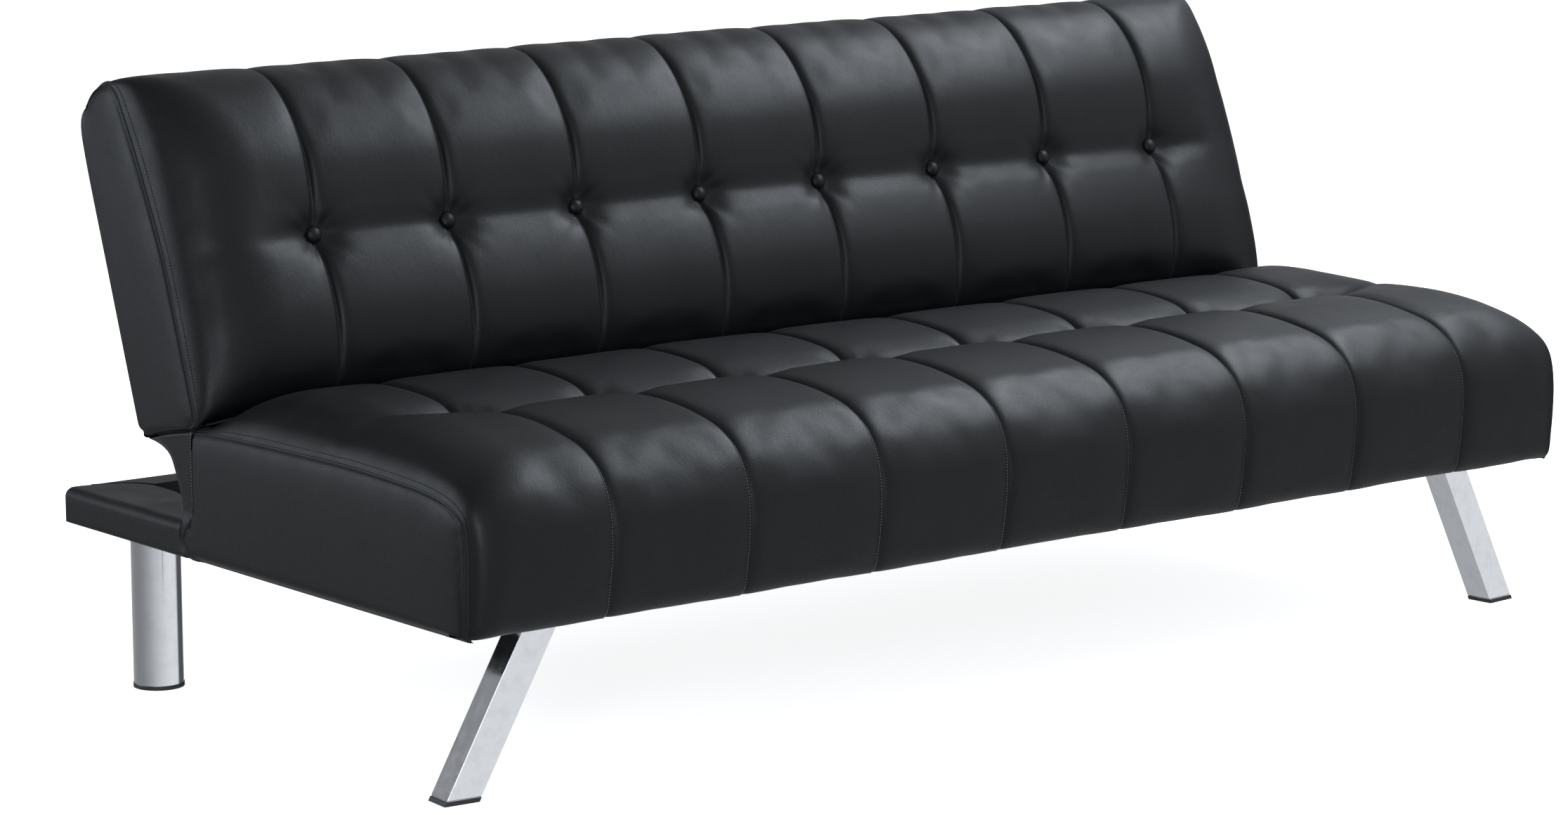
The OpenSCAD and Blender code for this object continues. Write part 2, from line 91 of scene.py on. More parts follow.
# ---------------------------------------------------------------- curves and grids
def smooth_path(points, per_mm=1.0):
    """A dense Catmull-Rom path through the points, with each dense point's place among the points."""
    p = np.array(points, float)
    ext = np.vstack([2 * p[0] - p[1], p, 2 * p[-1] - p[-2]])
    out, at = [], []
    for i in range(len(p) - 1):
        a, b, c, d = ext[i:i + 4]
        steps = max(4, int(np.linalg.norm((c - b)[:2]) * per_mm))
        t = np.arange(steps)[:, None] / steps
        da, db, dc = (np.linalg.norm((q - r)[:2]) ** 0.5 for q, r in ((b, a), (c, b), (d, c)))
        da, dc = max(da, 1e-3), max(dc, 1e-3)
        m1 = (c - b) + db * ((b - a) / da - (c - a) / (da + db))
        m2 = (c - b) + db * ((d - c) / dc - (d - b) / (dc + db))
        h = (2 * t**3 - 3 * t**2 + 1) * b + (t**3 - 2 * t**2 + t) * m1
        out.append(h + (3 * t**2 - 2 * t**3) * c + (t**3 - t**2) * m2)
        at.append(i + t[:, 0])
    return np.vstack(out + [p[-1:]]), np.concatenate(at + [[len(p) - 1.0]])


def run_length(path):
    """Distance along a path to each of its points."""
    return np.concatenate([[0], np.cumsum(np.linalg.norm(np.diff(path, axis=0), axis=1))])


def resample(path, step):
    """Points every step along a path, with all its columns; the first two are its place in the plane."""
    d = run_length(path[:, :2])
    n = max(2, int(round(d[-1] / step)))
    s = np.linspace(0, d[-1], n + 1)
    return np.stack([np.interp(s, d, path[:, k]) for k in range(path.shape[1])], 1), s


def grid_normals(p):
    """Unit normals of a grid of points, rows along the section and columns along the sofa."""
    n = np.cross(np.gradient(p, axis=1), np.gradient(p, axis=0))
    return n / np.maximum(np.linalg.norm(n, axis=2, keepdims=True), 1e-9)


def numbered(p):
    """The number of each point of a grid."""
    return np.arange(p.shape[0] * p.shape[1]).reshape(p.shape[:2])


def quads(i):
    """The faces over a grid of point numbers."""
    return np.stack([i[:-1, :-1], i[:-1, 1:], i[1:, 1:], i[1:, :-1]], 2).reshape(-1, 4)


def grid_mesh(name, p, flip=False):
    """A quad mesh over a grid of points given in millimetres."""
    return many_grids(name, [p], [flip])


def many_grids(name, grids, flips, closed=False):
    """One mesh over several grids of points. In a closed grid the last column joins the first."""
    faces, base = [], 0
    for g, flip in zip(grids, flips):
        i = base + numbered(g)
        q = quads(np.concatenate([i, i[:, :1]], 1) if closed else i)
        faces.append(q[:, ::-1] if flip else q)
        base += i.size
    return mesh_object(name, np.vstack([g.reshape(-1, 3) for g in grids]), np.vstack(faces))


def two_sided(name, outer, inner, flip=False):
    """A closed thin mesh between two grids of points."""
    i = numbered(outer)
    rim = np.concatenate([i[0, :-1], i[:-1, -1], i[-1, :0:-1], i[:0:-1, 0]])
    after = np.roll(rim, -1)
    edge = np.stack([rim, rim + i.size, after + i.size, after], 1)
    faces = np.concatenate([quads(i), quads(i)[:, ::-1] + i.size, edge])
    points = np.concatenate([outer.reshape(-1, 3), inner.reshape(-1, 3)])
    return mesh_object(name, points, faces[:, ::-1] if flip else faces)


def sided(name, side):
    """A name for the left or right one of a pair."""
    return name + ("_right" if side > 0 else "_left")


def mesh_object(name, points, faces):
    """An object from points in millimetres and faces of three or four corners."""
    mesh = bpy.data.meshes.new(name)
    faces = [list(map(int, f)) for f in faces] if not isinstance(faces, np.ndarray) else faces.tolist()
    mesh.from_pydata((np.asarray(points, float) * MM).tolist(), [], faces)
    mesh.validate()
    mesh.shade_smooth()
    o = bpy.data.objects.new(name, mesh)
    bpy.context.scene.collection.objects.link(o)
    return o


def welded(o):
    """Joins a mesh's points that lie in the same place, so that no face is left without area."""
    work = bmesh.new()
    work.from_mesh(o.data)
    bmesh.ops.remove_doubles(work, verts=work.verts, dist=0.02 * MM)
    bmesh.ops.dissolve_degenerate(work, edges=work.edges, dist=0.02 * MM)
    work.to_mesh(o.data)
    work.free()
    return o


def finer(coarse, xs, ss, new_x, new_s):
    """A coarse grid's points, read by cubic interpolation at new columns and new rows. Each seam between
    panels is a sharp valley, so the columns are read panel by panel."""
    ends = [xs[0] - 1e-6] + SEAMS + [xs[-1] + 1e-6]
    values, out = coarse.transpose(1, 0, 2), []
    for low, high in zip(ends[:-1], ends[1:]):
        own = (xs > low - 1e-3) & (xs < high + 1e-3)
        wanted = (new_x >= low) & (new_x < high) if high < ends[-1] else (new_x >= low) & (new_x <= high)
        out.append(cubic(xs[own], values[own], new_x[wanted]))
    return cubic(ss, np.concatenate(out).transpose(1, 0, 2), new_s)


def cubic(knots, values, at):
    """Catmull-Rom interpolation along the first axis."""
    i = np.clip(np.searchsorted(knots, at, side="right") - 1, 0, len(knots) - 2)
    h = knots[i + 1] - knots[i]
    t = ((at - knots[i]) / h).reshape(-1, *([1] * (values.ndim - 1)))
    slope = np.gradient(values, knots, axis=0)
    h = h.reshape(t.shape)
    a, b = values[i], values[i + 1]
    return ((2 * t**3 - 3 * t**2 + 1) * a + (t**3 - 2 * t**2 + t) * h * slope[i]
            + (3 * t**2 - 2 * t**3) * b + (t**3 - t**2) * h * slope[i + 1])


# ---------------------------------------------------------------- upholstered covers
SEAM_COLUMNS = (0, 0.7, 1.6, 2.8, 4.4, 6.5, 9.5, 13.5, 18.5)
FINE_STEP = 5.0
COARSE_STEP = 10.5
SMOOTHING = 5
CREST_REACH = 115
BRIDGE_FROM, BRIDGE_WIDE, BRIDGE_SHARE = 20, 95, 0.85
CLOTH_FRAMES = 20


def fine_columns():
    """Columns along the sofa, close together at each seam and at the ends."""
    x = [s + k * d for s in SEAMS for d in SEAM_COLUMNS for k in (-1, 1)]
    x += [k * (SEAM_X - d) for d in SEAM_COLUMNS for k in (-1, 1)]
    plain = np.linspace(-SEAM_X, SEAM_X, int(2 * SEAM_X / FINE_STEP) + 1)
    near = np.array(SEAMS + [-SEAM_X, SEAM_X])
    far = np.abs(plain[:, None] - near[None, :]).min(1) > SEAM_COLUMNS[-1] + FINE_STEP / 2
    return np.unique(np.round(np.concatenate([x, plain[far]]), 3))


def coarse_columns():
    """Columns for the cloth simulation, with one at every seam."""
    edges = [-SEAM_X] + SEAMS + [SEAM_X]
    x = [np.linspace(a, b, int(round((b - a) / COARSE_STEP)), endpoint=False)
         for a, b in zip(edges[:-1], edges[1:])]
    return np.concatenate(x + [[SEAM_X]])


def seam_distance(x):
    """Distance of each column to the nearest seam between two panels."""
    return np.abs(np.asarray(x)[:, None] - np.array(SEAMS)[None, :]).min(1)


def end_share(x, reach, power):
    """0 on the flat of the sofa, rising to 1 at its end seam, like a rounded edge."""
    t = np.clip((np.abs(x) - (SEAM_X - reach)) / reach, 0, 1)
    return 1 - (1 - t**power) ** (1 / power)


def crest_lift(path, at, crease):
    """How far each point of a section lies below a straight line over the crease, from crest to crest."""
    d = run_length(path[:, :2])
    middle = float(np.interp(crease, at, d))
    before = np.flatnonzero((d < middle) & (d > middle - CREST_REACH))
    after = np.flatnonzero((d > middle) & (d < middle + CREST_REACH))
    ends = [before[np.argmax(path[before, 1])], after[np.argmax(path[after, 1])]]
    line = np.interp(d, d[ends], path[ends, 1], left=-np.inf, right=-np.inf)
    return np.clip(line - path[:, 1], 0, None)


def end_bridge(x):
    """0 up to the last seam, rising to its full share in the end panels, which have no crease."""
    t = np.clip((np.abs(x) - SEAMS[-1] - BRIDGE_FROM) / BRIDGE_WIDE, 0, 1)
    return BRIDGE_SHARE * t**2 * (3 - 2 * t)


def base_grid(path, x):
    """The smooth body of a cover. Path columns: middle section's a and b, end section's a and b, groove,
    end reach, place, lift. Returns rows along the section, columns along the sofa, as x, a, b."""
    share = np.stack([end_share(x, reach, 1.8) for reach in path[:, 5]], 0)
    a = path[:, 0:1] * (1 - share) + path[:, 2:3] * share
    b = (path[:, 1:2] + path[:, 7:8] * end_bridge(x)) * (1 - share) + path[:, 3:4] * share
    return np.stack([np.broadcast_to(x, a.shape), a, b], 2)


def puff_dent(x, depth, wide=58.0):
    """How far the cover lies below its crest because of the panel seams."""
    d = seam_distance(x)
    broad = np.clip(1 - d / wide, 0, 1) ** 2.0
    return depth[:, None] * broad[None, :]


def swell(name, p, pinned, outward, cap):
    """Runs a cloth simulation with pressure on a grid of points, with the pinned ones held, and returns
    the points moved outwards by at most cap."""
    o = grid_mesh(name, p, flip=outward < 0)
    group = o.vertex_groups.new(name="pin")
    for i in np.flatnonzero(pinned.ravel()):
        group.add([int(i)], 1.0, "REPLACE")
    cloth = o.modifiers.new("cloth", "CLOTH")
    s = cloth.settings
    s.vertex_group_mass = "pin"
    s.quality = 4
    s.mass = 0.35
    s.tension_stiffness = s.compression_stiffness = 14
    s.shear_stiffness = 8
    s.bending_stiffness = 0.6
    s.tension_damping = s.compression_damping = s.shear_damping = 8
    s.shrink_min = -0.012
    s.use_pressure = True
    s.uniform_pressure_force = 3.4
    s.effector_weights.gravity = 0
    cloth.collision_settings.use_collision = False
    scene = bpy.context.scene
    for f in range(1, CLOTH_FRAMES + 1):
        scene.frame_set(f)
    shape = o.evaluated_get(bpy.context.evaluated_depsgraph_get()).to_mesh()
    co = np.zeros(len(shape.vertices) * 3)
    shape.vertices.foreach_get("co", co)
    moved = co.reshape(p.shape) / MM - p
    for _ in range(SMOOTHING):
        moved = calmer(moved, pinned)
    scene.frame_set(1)
    bpy.data.objects.remove(o)
    length = np.linalg.norm(moved, axis=2, keepdims=True)
    return p + moved * np.minimum(1, cap / np.maximum(length, 1e-6))


def calmer(moved, pinned):
    """A grid of movements, each averaged with its neighbours, and none at the pins."""
    m = np.pad(moved, ((1, 1), (1, 1), (0, 0)), "edge")
    near = m[:-2, 1:-1] + m[2:, 1:-1] + m[1:-1, :-2] + m[1:-1, 2:]
    return np.where(pinned[..., None], 0, 0.5 * moved + 0.125 * near)


def bell(d, width, power=2.0):
    """1 at no distance, falling off over width."""
    return np.exp(-(np.abs(d) / width) ** power)


# ---------------------------------------------------------------- seat and backrest covers
# Each row: the section at a panel's middle (two numbers), the same place at the end seam (two numbers),
# how deep the seams between panels lie there, and how far in from the end seam the surface turns down.
SEAT_SECTION = [
    (-368, 193.5, -366, 193.5, 0, 30), (-398, 193.2, -388, 193.2, 1, 30), (-411, 195.5, -398, 195.5, 3, 30),
    (-417, 203, -401, 203, 4, 32), (-422, 225, -401.5, 225, 5, 36), (-427, 260, -401.5, 258, 5.8, 42),
    (-428, 295, -401.5, 290, 6, 50), (-424, 325, -400, 312, 6, 62), (-413, 350, -396, 325, 6, 74),
    (-396, 368, -385, 333, 6, 82), (-370, 382, -368, 340, 6.2, 88), (-330, 391.5, -329, 347, 6.6, 92),
    (-285, 397.5, -285, 350, 7, 95), (-240, 399, -240, 352, 7.6, 95), (-205, 396.5, -205, 353, 8.6, 95),
    (-178, 388, -178, 353.5, 10, 95), (-155, 379, -155, 353.5, 10, 95), (-132, 386, -132, 353.5, 9, 95),
    (-105, 393, -105, 353, 7.5, 95), (-65, 397.5, -65, 352.5, 6.5, 95), (-20, 399, -20, 352, 6, 95),
    (25, 396, 25, 351, 6, 95), (63, 385.5, 65, 350, 6, 88), (94, 366, 98, 348.5, 6, 75),
    (118, 352, 122, 347, 5, 55), (137, 344.5, 138, 345, 3, 40), (144, 335, 144, 336, 1, 30),
    (144, 322, 144, 322, 0, 30)]
SEAT_CREASE = 16
BACK_SECTION = [
    (0.5, 20, -2, 20, 0, 120), (0, 60, -6, 55, 0, 120), (0, 105, -11, 88, 0.5, 120),
    (1, 130, -13.5, 106, 2, 120), (7, 148, -9, 116, 4, 120), (20, 158, 6, 120, 6, 115),
    (42, 169, 32, 120.5, 8.5, 112),
    (70, 177, 66, 120.5, 9.5, 112), (100, 181, 100, 120.5, 10, 112), (130, 180, 130, 120, 10, 112),
    (158, 176, 158, 120, 10, 112), (188, 169, 188, 119, 9, 112), (218, 174, 218, 116, 9.5, 112),
    (250, 179, 250, 112, 10.5, 112), (282, 180.5, 282, 107.5, 11, 110), (315, 175, 315, 102.5, 9.8, 105),
    (345, 163.5, 345, 97, 8.4, 95), (370, 148, 368, 92.5, 7.2, 80), (388, 131, 385, 88.5, 6, 60),
    (401, 110, 398, 83, 4.8, 40), (408, 88, 405.5, 73, 3.8, 30), (410.5, 62, 409, 56, 3.2, 22),
    (407, 38, 406, 36, 2.8, 20), (397.5, 16.5, 396, 16.5, 2, 20), (384, 4, 383, 4, 1, 20),
    (369, -1.0, 369, -0.5, 0, 20), (352, -3, 352, -2.5, 0, 20), (338, -3.5, 338, -3, 0, 20)]
BACK_CREASE = 11


class Cover:
    """A sewn cover: its section, its simulated surface and its fine surface."""

    def __init__(self, name, section, crease):
        path, at = smooth_path(section)
        path = np.column_stack([path, at, crest_lift(path, at, crease)])
        self.coarse, self.cs = resample(path, COARSE_STEP)
        self.fine, self.fs = resample(path, FINE_STEP)
        self.name = name
        self.crease_s = self.at_row(crease)
        self.x = fine_columns()
        self.cx = coarse_columns()

    def at_row(self, row):
        """Distance along the cover to a row of its section."""
        return float(np.interp(row, self.fine[:, 6], self.fs))

    def simulate(self, cap, broad_share, dimple_pin):
        """Puffs the panels up between their seams."""
        self.broad_share = broad_share
        p = self.dented(self.coarse, self.cx)
        pinned = np.zeros(p.shape[:2], bool)
        pinned[:, seam_distance(self.cx) < 0.5] = True
        pinned[[0, 1, -2, -1], :] = True
        pinned[:, [0, -1]] = True
        near = np.abs(self.cs - self.crease_s)[:, None] < dimple_pin
        pinned |= near & (seam_distance(self.cx)[None, :] < dimple_pin)
        self.puffed = swell(self.name + "_cloth", p, pinned, 1, cap)

    def dented(self, path, x):
        """The smooth body with the broad part of the seams' dents."""
        p = base_grid(path, x)
        dent = puff_dent(x, path[:, 4] * self.broad_share)
        return p - grid_normals(p) * dent[:, :, None]

    def surface(self):
        """The puffed surface at the fine rows and columns."""
        return finer(self.puffed, self.cx, self.cs, self.x, self.fs)


def carve(p, dent):
    """Moves a grid inwards along its own normals."""
    return p - grid_normals(p) * dent[:, :, None]


def dimples(cover, deep, across, along, flat):
    """A soft dent where each seam crosses the crease."""
    ds = (cover.fs - cover.crease_s)[:, None] / along
    out = 0
    for sx in SEAMS:
        dx = (cover.x - sx)[None, :] / across
        r = np.clip(np.sqrt(dx**2 + ds**2) - flat, 0, None)
        out = out + deep * np.exp(-r ** 1.5)
    return out


def pulls(cover, size, reach):
    """Small folds that run out from each dimple."""
    ds = (cover.fs - cover.crease_s)[:, None]
    out = 0
    for sx in SEAMS:
        dx = (cover.x - sx)[None, :]
        r = np.hypot(dx, ds) + 1e-6
        a = np.arctan2(ds, dx)
        n = rng.integers(7, 10)
        wave = np.cos(n * a + rng.uniform(0, 6.28)) + 0.5 * np.cos((n + 4) * a + rng.uniform(0, 6.28))
        out = out + size * wave * (r / reach) * np.exp(1 - (r / reach) ** 1.4)
    return out


def soft_noise(cover, size, scale):
    """Slow unevenness of the padding."""
    s, x = cover.fs[:, None], cover.x[None, :]
    out = 0
    for _ in range(14):
        kx, ks = rng.normal(0, 1 / scale, 2)
        out = out + np.cos(kx * x + ks * s * 1.3 + rng.uniform(0, 6.28))
    return size * out / math.sqrt(14)


def seam_cut(cover, share, width):
    """The narrow part of the seams between panels, with a lip on the left panel's edge, which laps over."""
    x = cover.x[:, None] - np.array(SEAMS)[None, :]
    nearest = np.take_along_axis(x, np.abs(x).argmin(1)[:, None], 1)[:, 0]
    d = np.where(nearest < 0, np.abs(nearest) * 1.25, np.abs(nearest) * 0.8)
    lip = 0.16 * bell(nearest + 4.2, 2.2)
    return (cover.fine[:, 4] * share)[:, None] * (np.exp(-(d / width) ** 1.25) - lip)[None, :]


def edge_cut(cover, depth, width):
    """The small valley at each end seam."""
    d = SEAM_X - np.abs(cover.x)
    inside = np.clip(cover.fs / 30, 0, 1) * np.clip((cover.fs[-1] - cover.fs) / 30, 0, 1)
    return depth * inside[:, None] * np.exp(-(d / width) ** 1.5)[None, :]


def crease_fold(cover, depth, width):
    """The fold along the crease, sharpest near the dimples."""
    ds = np.abs(cover.fs - cover.crease_s)[:, None]
    near = 0.35 + 0.65 * np.exp(-(seam_distance(cover.x) / 34)[None, :] ** 1.3)
    inner = np.abs(cover.x) < SEAMS[-1] + 25
    fade = np.where(inner, 1, np.exp(-((np.abs(cover.x) - SEAMS[-1] - 25) / 45) ** 2))[None, :]
    return depth * near * fade * np.exp(-(ds / width) ** 1.3)


def on_seat(p):
    return p


def on_back(p):
    """Points given as x, u, v, as x, y, z."""
    y, z = back_point(p[..., 1], p[..., 2])
    return np.stack([p[..., 0], y, z], -1)


def make_seat_cover():
    c = Cover("seat", SEAT_SECTION, SEAT_CREASE)
    c.simulate(cap=3.0, broad_share=0.38, dimple_pin=13)
    p = c.surface()
    p = carve(p, dimples(c, 13, 30, 26, 0.0) + crease_fold(c, 3.5, 9) + soft_noise(c, 0.7, 60))
    p = carve(p, seam_cut(c, 0.5, 3.2) + edge_cut(c, 2.6, 3.4) + pulls(c, 0.5, 22))
    return c, p


def make_back_cover():
    c = Cover("back", BACK_SECTION, BACK_CREASE)
    c.simulate(cap=2.4, broad_share=0.3, dimple_pin=13)
    p = c.surface()
    p = carve(p, dimples(c, 6.5, 20, 19, 0.5) + crease_fold(c, 3.0, 8) + soft_noise(c, 0.7, 60))
    p = carve(p, seam_cut(c, 0.5, 3.4) + edge_cut(c, 2.6, 3.4) + pulls(c, 0.6, 22))
    return c, p


# ---------------------------------------------------------------- flat panels with sewn edges
STITCH_ROW = 5.6
SKIRT = 3.0
PANEL_BULGE = 2.0
RIM = (0, 0.8, 1.7, 2.8, 4.0, 5.2, 6.0, 7.0, 8.5, 11, 15, 21, 29)


def spaced_line(points, n_extra, step):
    """Places from 0 to 1 along a line, close together at both ends."""
    path, _ = smooth_path([tuple(p) for p in points])
    length = run_length(path[:, :2])[-1]
    rim = np.array(RIM[:n_extra])
    middle = np.linspace(rim[-1], length - rim[-1], max(3, int((length - 2 * rim[-1]) / step)))
    return np.unique(np.concatenate([rim, middle, length - rim])) / length


def along(points, t):
    """Points at the given shares of a line's length."""
    path, _ = smooth_path([tuple(p) for p in points], per_mm=2.0)
    d = run_length(path)
    return np.stack([np.interp(t * d[-1], d, path[:, k]) for k in range(2)], 1)


def coons(left, right, bottom, top, ta, tb):
    """A grid over four edge lines. Left and right run upwards, bottom and top from left to right."""
    le, ri, bo, to = along(left, tb), along(right, tb), along(bottom, ta), along(top, ta)
    a, b = ta[None, :, None], tb[:, None, None]
    ruled = (1 - b) * bo[None] + b * to[None] + (1 - a) * le[:, None] + a * ri[:, None]
    corners = (1 - a) * (1 - b) * bo[0] + a * (1 - b) * bo[-1] + (1 - a) * b * to[0] + a * b * to[-1]
    return ruled - corners


def distance_to(p, lines):
    """Distance of each grid point to the nearest of some lines."""
    best = np.full(p.shape[:2], 1e9)
    for line in lines:
        q, _ = smooth_path([tuple(v) for v in line], per_mm=0.7)
        for a, b in zip(q[:-1, :2], q[1:, :2]):
            ab = b - a
            t = np.clip(((p - a) @ ab) / max(ab @ ab, 1e-9), 0, 1)
            best = np.minimum(best, np.linalg.norm(p - a - t[..., None] * ab, axis=2))
    return best


def sewn_relief(d, row):
    """Height of a panel beside a sewn edge: a valley at the edge, and one at the second stitched row."""
    roll = 3.4 * (1 - np.exp(-np.clip(d - row, 0, None) / 10))
    return roll - 2.6 * np.exp(-(d / 2.0) ** 1.4) - 1.5 * bell(d - row, 1.5) + 0.9 * bell(d - row / 2, 1.9)


def side_panel(name, side, left, right, bottom, top, sewn, tucked, bulge, to_space):
    """A slightly bulging end panel, sewn in two rows along some edges and turned in along others."""
    ta, tb = spaced_line(bottom, len(RIM), 9), spaced_line(left, len(RIM), 9)
    p = coons(left, right, bottom, top, ta, tb)
    d = distance_to(p, sewn)
    x = SEAM_X - 1.6 + bulge * (1 - np.exp(-d / 45)) + sewn_relief(d, STITCH_ROW)
    if tucked:
        on_shelf = np.clip((p[..., 0] - 134) / 8, 0, 1) * np.clip((246 - p[..., 1]) / 8, 0, 1)
        deep = 7.0 - 3.2 * on_shelf
        x = np.minimum(x, SEAM_X + 3.8 - deep * np.exp(-(distance_to(p, tucked) / 4) ** 1.2))
    p, x = skirted(p, x)
    g = to_space(np.stack([side * x, p[..., 0], p[..., 1]], -1))
    return grid_mesh(name, g, flip=(side > 0) == (to_space is on_back))


def skirted(p, x):
    """Adds a narrow turned-in strip all round a panel, so that its seams stay closed."""
    for axis in (0, 1):
        for end, near in ((0, 1), (-1, -2)):
            edge, inner = p.take([end], axis), p.take([near], axis)
            out = edge - inner
            out *= SKIRT / np.maximum(np.linalg.norm(out, axis=2, keepdims=True), 1e-6)
            strip, low = edge + out, x.take([end], axis) - SKIRT
            p = np.concatenate([strip, p] if end == 0 else [p, strip], axis)
            x = np.concatenate([low, x] if end == 0 else [x, low], axis)
    return p, x


SEAT_TOP_EDGE = [r[2:4] for r in SEAT_SECTION[6:27]][:-1]
SEAT_FRONT_EDGE = [r[2:4] for r in SEAT_SECTION[2:7]]
SEAT_REAR_EDGE = [(152, 194), (160, 206), (165, 216), (156, 226), (146, 236), (143, 250), (143, 300),
                  (143, 344)]


def seat_side(side):
    top = SEAT_TOP_EDGE[:-1] + [(143, 344)]
    front = [(-401, 194)] + SEAT_FRONT_EDGE[2:]
    bottom = [(-401, 194), (-200, 194), (0, 194), (152, 194)]
    return side_panel(sided("seat_side", side), side, front, SEAT_REAR_EDGE, bottom, top, [front, top],
                      [SEAT_REAR_EDGE, bottom], PANEL_BULGE, on_seat)


BACK_LOW_EDGE = [(6, -1.8), (0.8, 0.6), (-1.8, 6), (-3, 24), (-6, 55), (-11, 88), (-13.5, 106)]
BACK_FRONT_EDGE = [r[2:4] for r in BACK_SECTION[4:20]]
BACK_TOP_EDGE = [r[2:4] for r in BACK_SECTION[19:24]]


def back_side(side):
    front = [BACK_LOW_EDGE[-1]] + BACK_FRONT_EDGE
    rear = [BACK_LOW_EDGE[0], (30, -1.8), (200, -1.8), (340, -2), (369, -0.5), (383, 4), BACK_TOP_EDGE[-1]]
    top = BACK_TOP_EDGE[::-1]
    return side_panel(sided("back_side", side), side, rear, front, BACK_LOW_EDGE, top, [front, top],
                      [BACK_LOW_EDGE], PANEL_BULGE, on_back)


def back_rear():
    """The backrest's rear panel, which turns under the lower end."""
    path = [(342, -3), (337, -4), (320, -4.5), (200, -4), (60, -3), (14, -2.5), (6, -2.2), (0.3, 0.3),
            (-2.2, 6), (-3, 14), (-3.5, 26)]
    rows, _ = resample(smooth_path(path)[0], 7)
    x = np.unique(np.concatenate([k * (SEAM_X - np.array(RIM)) for k in (-1, 1)]
                                 + [np.linspace(-SEAM_X + 29, SEAM_X - 29, 150)]))
    d = SEAM_X - np.abs(x)
    flat = np.clip(1 - np.exp(-d / 9), 0, 1)
    v = rows[:, 1:2] * flat[None, :] + 1.5 * np.exp(-(d / 2.5) ** 1.4)[None, :]
    v = np.where(rows[:, 0:1] > 8, v, rows[:, 1:2])
    u = rows[:, 0:1] + 0 * x[None, :]
    g = on_back(np.stack([np.broadcast_to(x, u.shape), u, v], -1))
    return grid_mesh("back_rear", g)


# ---------------------------------------------------------------- hinge webs
WEB_TOP = [back_point(u - 0.6, v) for u, v in BACK_LOW_EDGE[:1:-1]]
WEB_FREE = [(160, 196), (165, 206), (167, 216), (163.5, 236), (164.5, 253), (170, 270), (178, 288),
            (190, 309), (204, 317), (220, 321), WEB_TOP[-1]]
WEB_FRONT = [(149, 196), (156, 207), (160, 215), (154, 226), (146, 237), (143.5, 252), (143.5, 300),
             (143.5, 330), WEB_TOP[0]]
WEB_FOOT = [(149, 196), (153, 195.5), (157, 195.5), (160, 196)]
WEB_MIDDLE = (170, 270)
WEB_T = 1.7
TUCK = 4.0


def web_threads():
    """The light stitched row beside the web's front seam, and the one under its top seam, on both sides."""
    front, normals = panel_threads(WEB_FRONT[3:], 1.9, WEB_MIDDLE, on_seat, -1.0)
    short = WEB_TOP[:-1] + [tuple(0.5 * np.array(WEB_TOP[-2]) + 0.5 * np.array(WEB_TOP[-1]))]
    top, top_n = panel_threads(short, 2.2, WEB_MIDDLE, on_seat, -1.0)
    return stitches("hinge_web_thread", front + top, normals + top_n)


def hinge_web(side):
    """The thin web of faux leather over the hinge, sewn in front and above, free behind."""
    ta = spaced_line(WEB_TOP, 9, 6)
    tb = spaced_line(WEB_FRONT, 9, 6)
    p = coons(WEB_FRONT, WEB_FREE, WEB_FOOT, WEB_TOP, ta, tb)
    d = distance_to(p, [WEB_FRONT, WEB_TOP])
    hem = distance_to(p, [WEB_FREE])
    foot = np.clip((244 - p[..., 1]) / 8, 0, 1)
    face = SEAM_X - 0.6 + 3.0 * foot - (3.4 - 2.2 * foot) * np.exp(-(d / 2.6) ** 1.4)
    face += 0.7 * bell(d - 3.4, 1.6) + 0.6 * bell(hem - 1.5, 1.5)
    p = np.concatenate([p[:, :1] - (TUCK, 0), p], 1)
    p = np.concatenate([p, p[-1:] + (0, TUCK)], 0)
    face = np.pad(face, ((0, 1), (1, 0)), "edge")
    face[-1] -= TUCK
    face[:, 0] -= TUCK
    outer = np.stack([side * face, p[..., 0], p[..., 1]], -1)
    inner = np.stack([side * (face - WEB_T), p[..., 0], p[..., 1]], -1)
    return two_sided(sided("hinge_web", side), outer, inner, flip=side < 0)


def web_backing(side):
    """The faux leather turned in behind the corner where the web, the seat and the shelf meet."""
    y, z = np.linspace(139, 161, 9), np.linspace(UNDER_Z + 0.6, 242, 16)
    gy, gz = np.meshgrid(y, z)
    g = np.stack([0 * gy + side * (SEAM_X + 0.25), gy, gz], -1)
    return grid_mesh(sided("web_backing", side), g, flip=side < 0)


# ---------------------------------------------------------------- shelf
SHELF_R = 11.0
SHELF_PROUD = 3.0
SHELF_STEP = 12
SHELF_FINE_X = 745
# Y and Z of the seam where the shelf's end meets the seat's end
SHELF_SEAM = [(152, 194), (160, 206), (165, 216), (165, 233)]
LINING_HALF = 815
LINING_REAR = 383


def rounded(p, low, high, r):
    """Points of a box's faces, pulled onto the box with rounded edges."""
    q = np.clip(p, np.array(low) + r, np.array(high) - r)
    n = p - q
    length = np.linalg.norm(n, axis=-1, keepdims=True)
    return np.where(length > 1e-9, q + r * n / np.maximum(length, 1e-9), p)


def bend(r):
    """Places close together within r of a rounded edge, measured from it."""
    return r * (1 - np.cos(np.linspace(0, math.pi / 2, 9)))


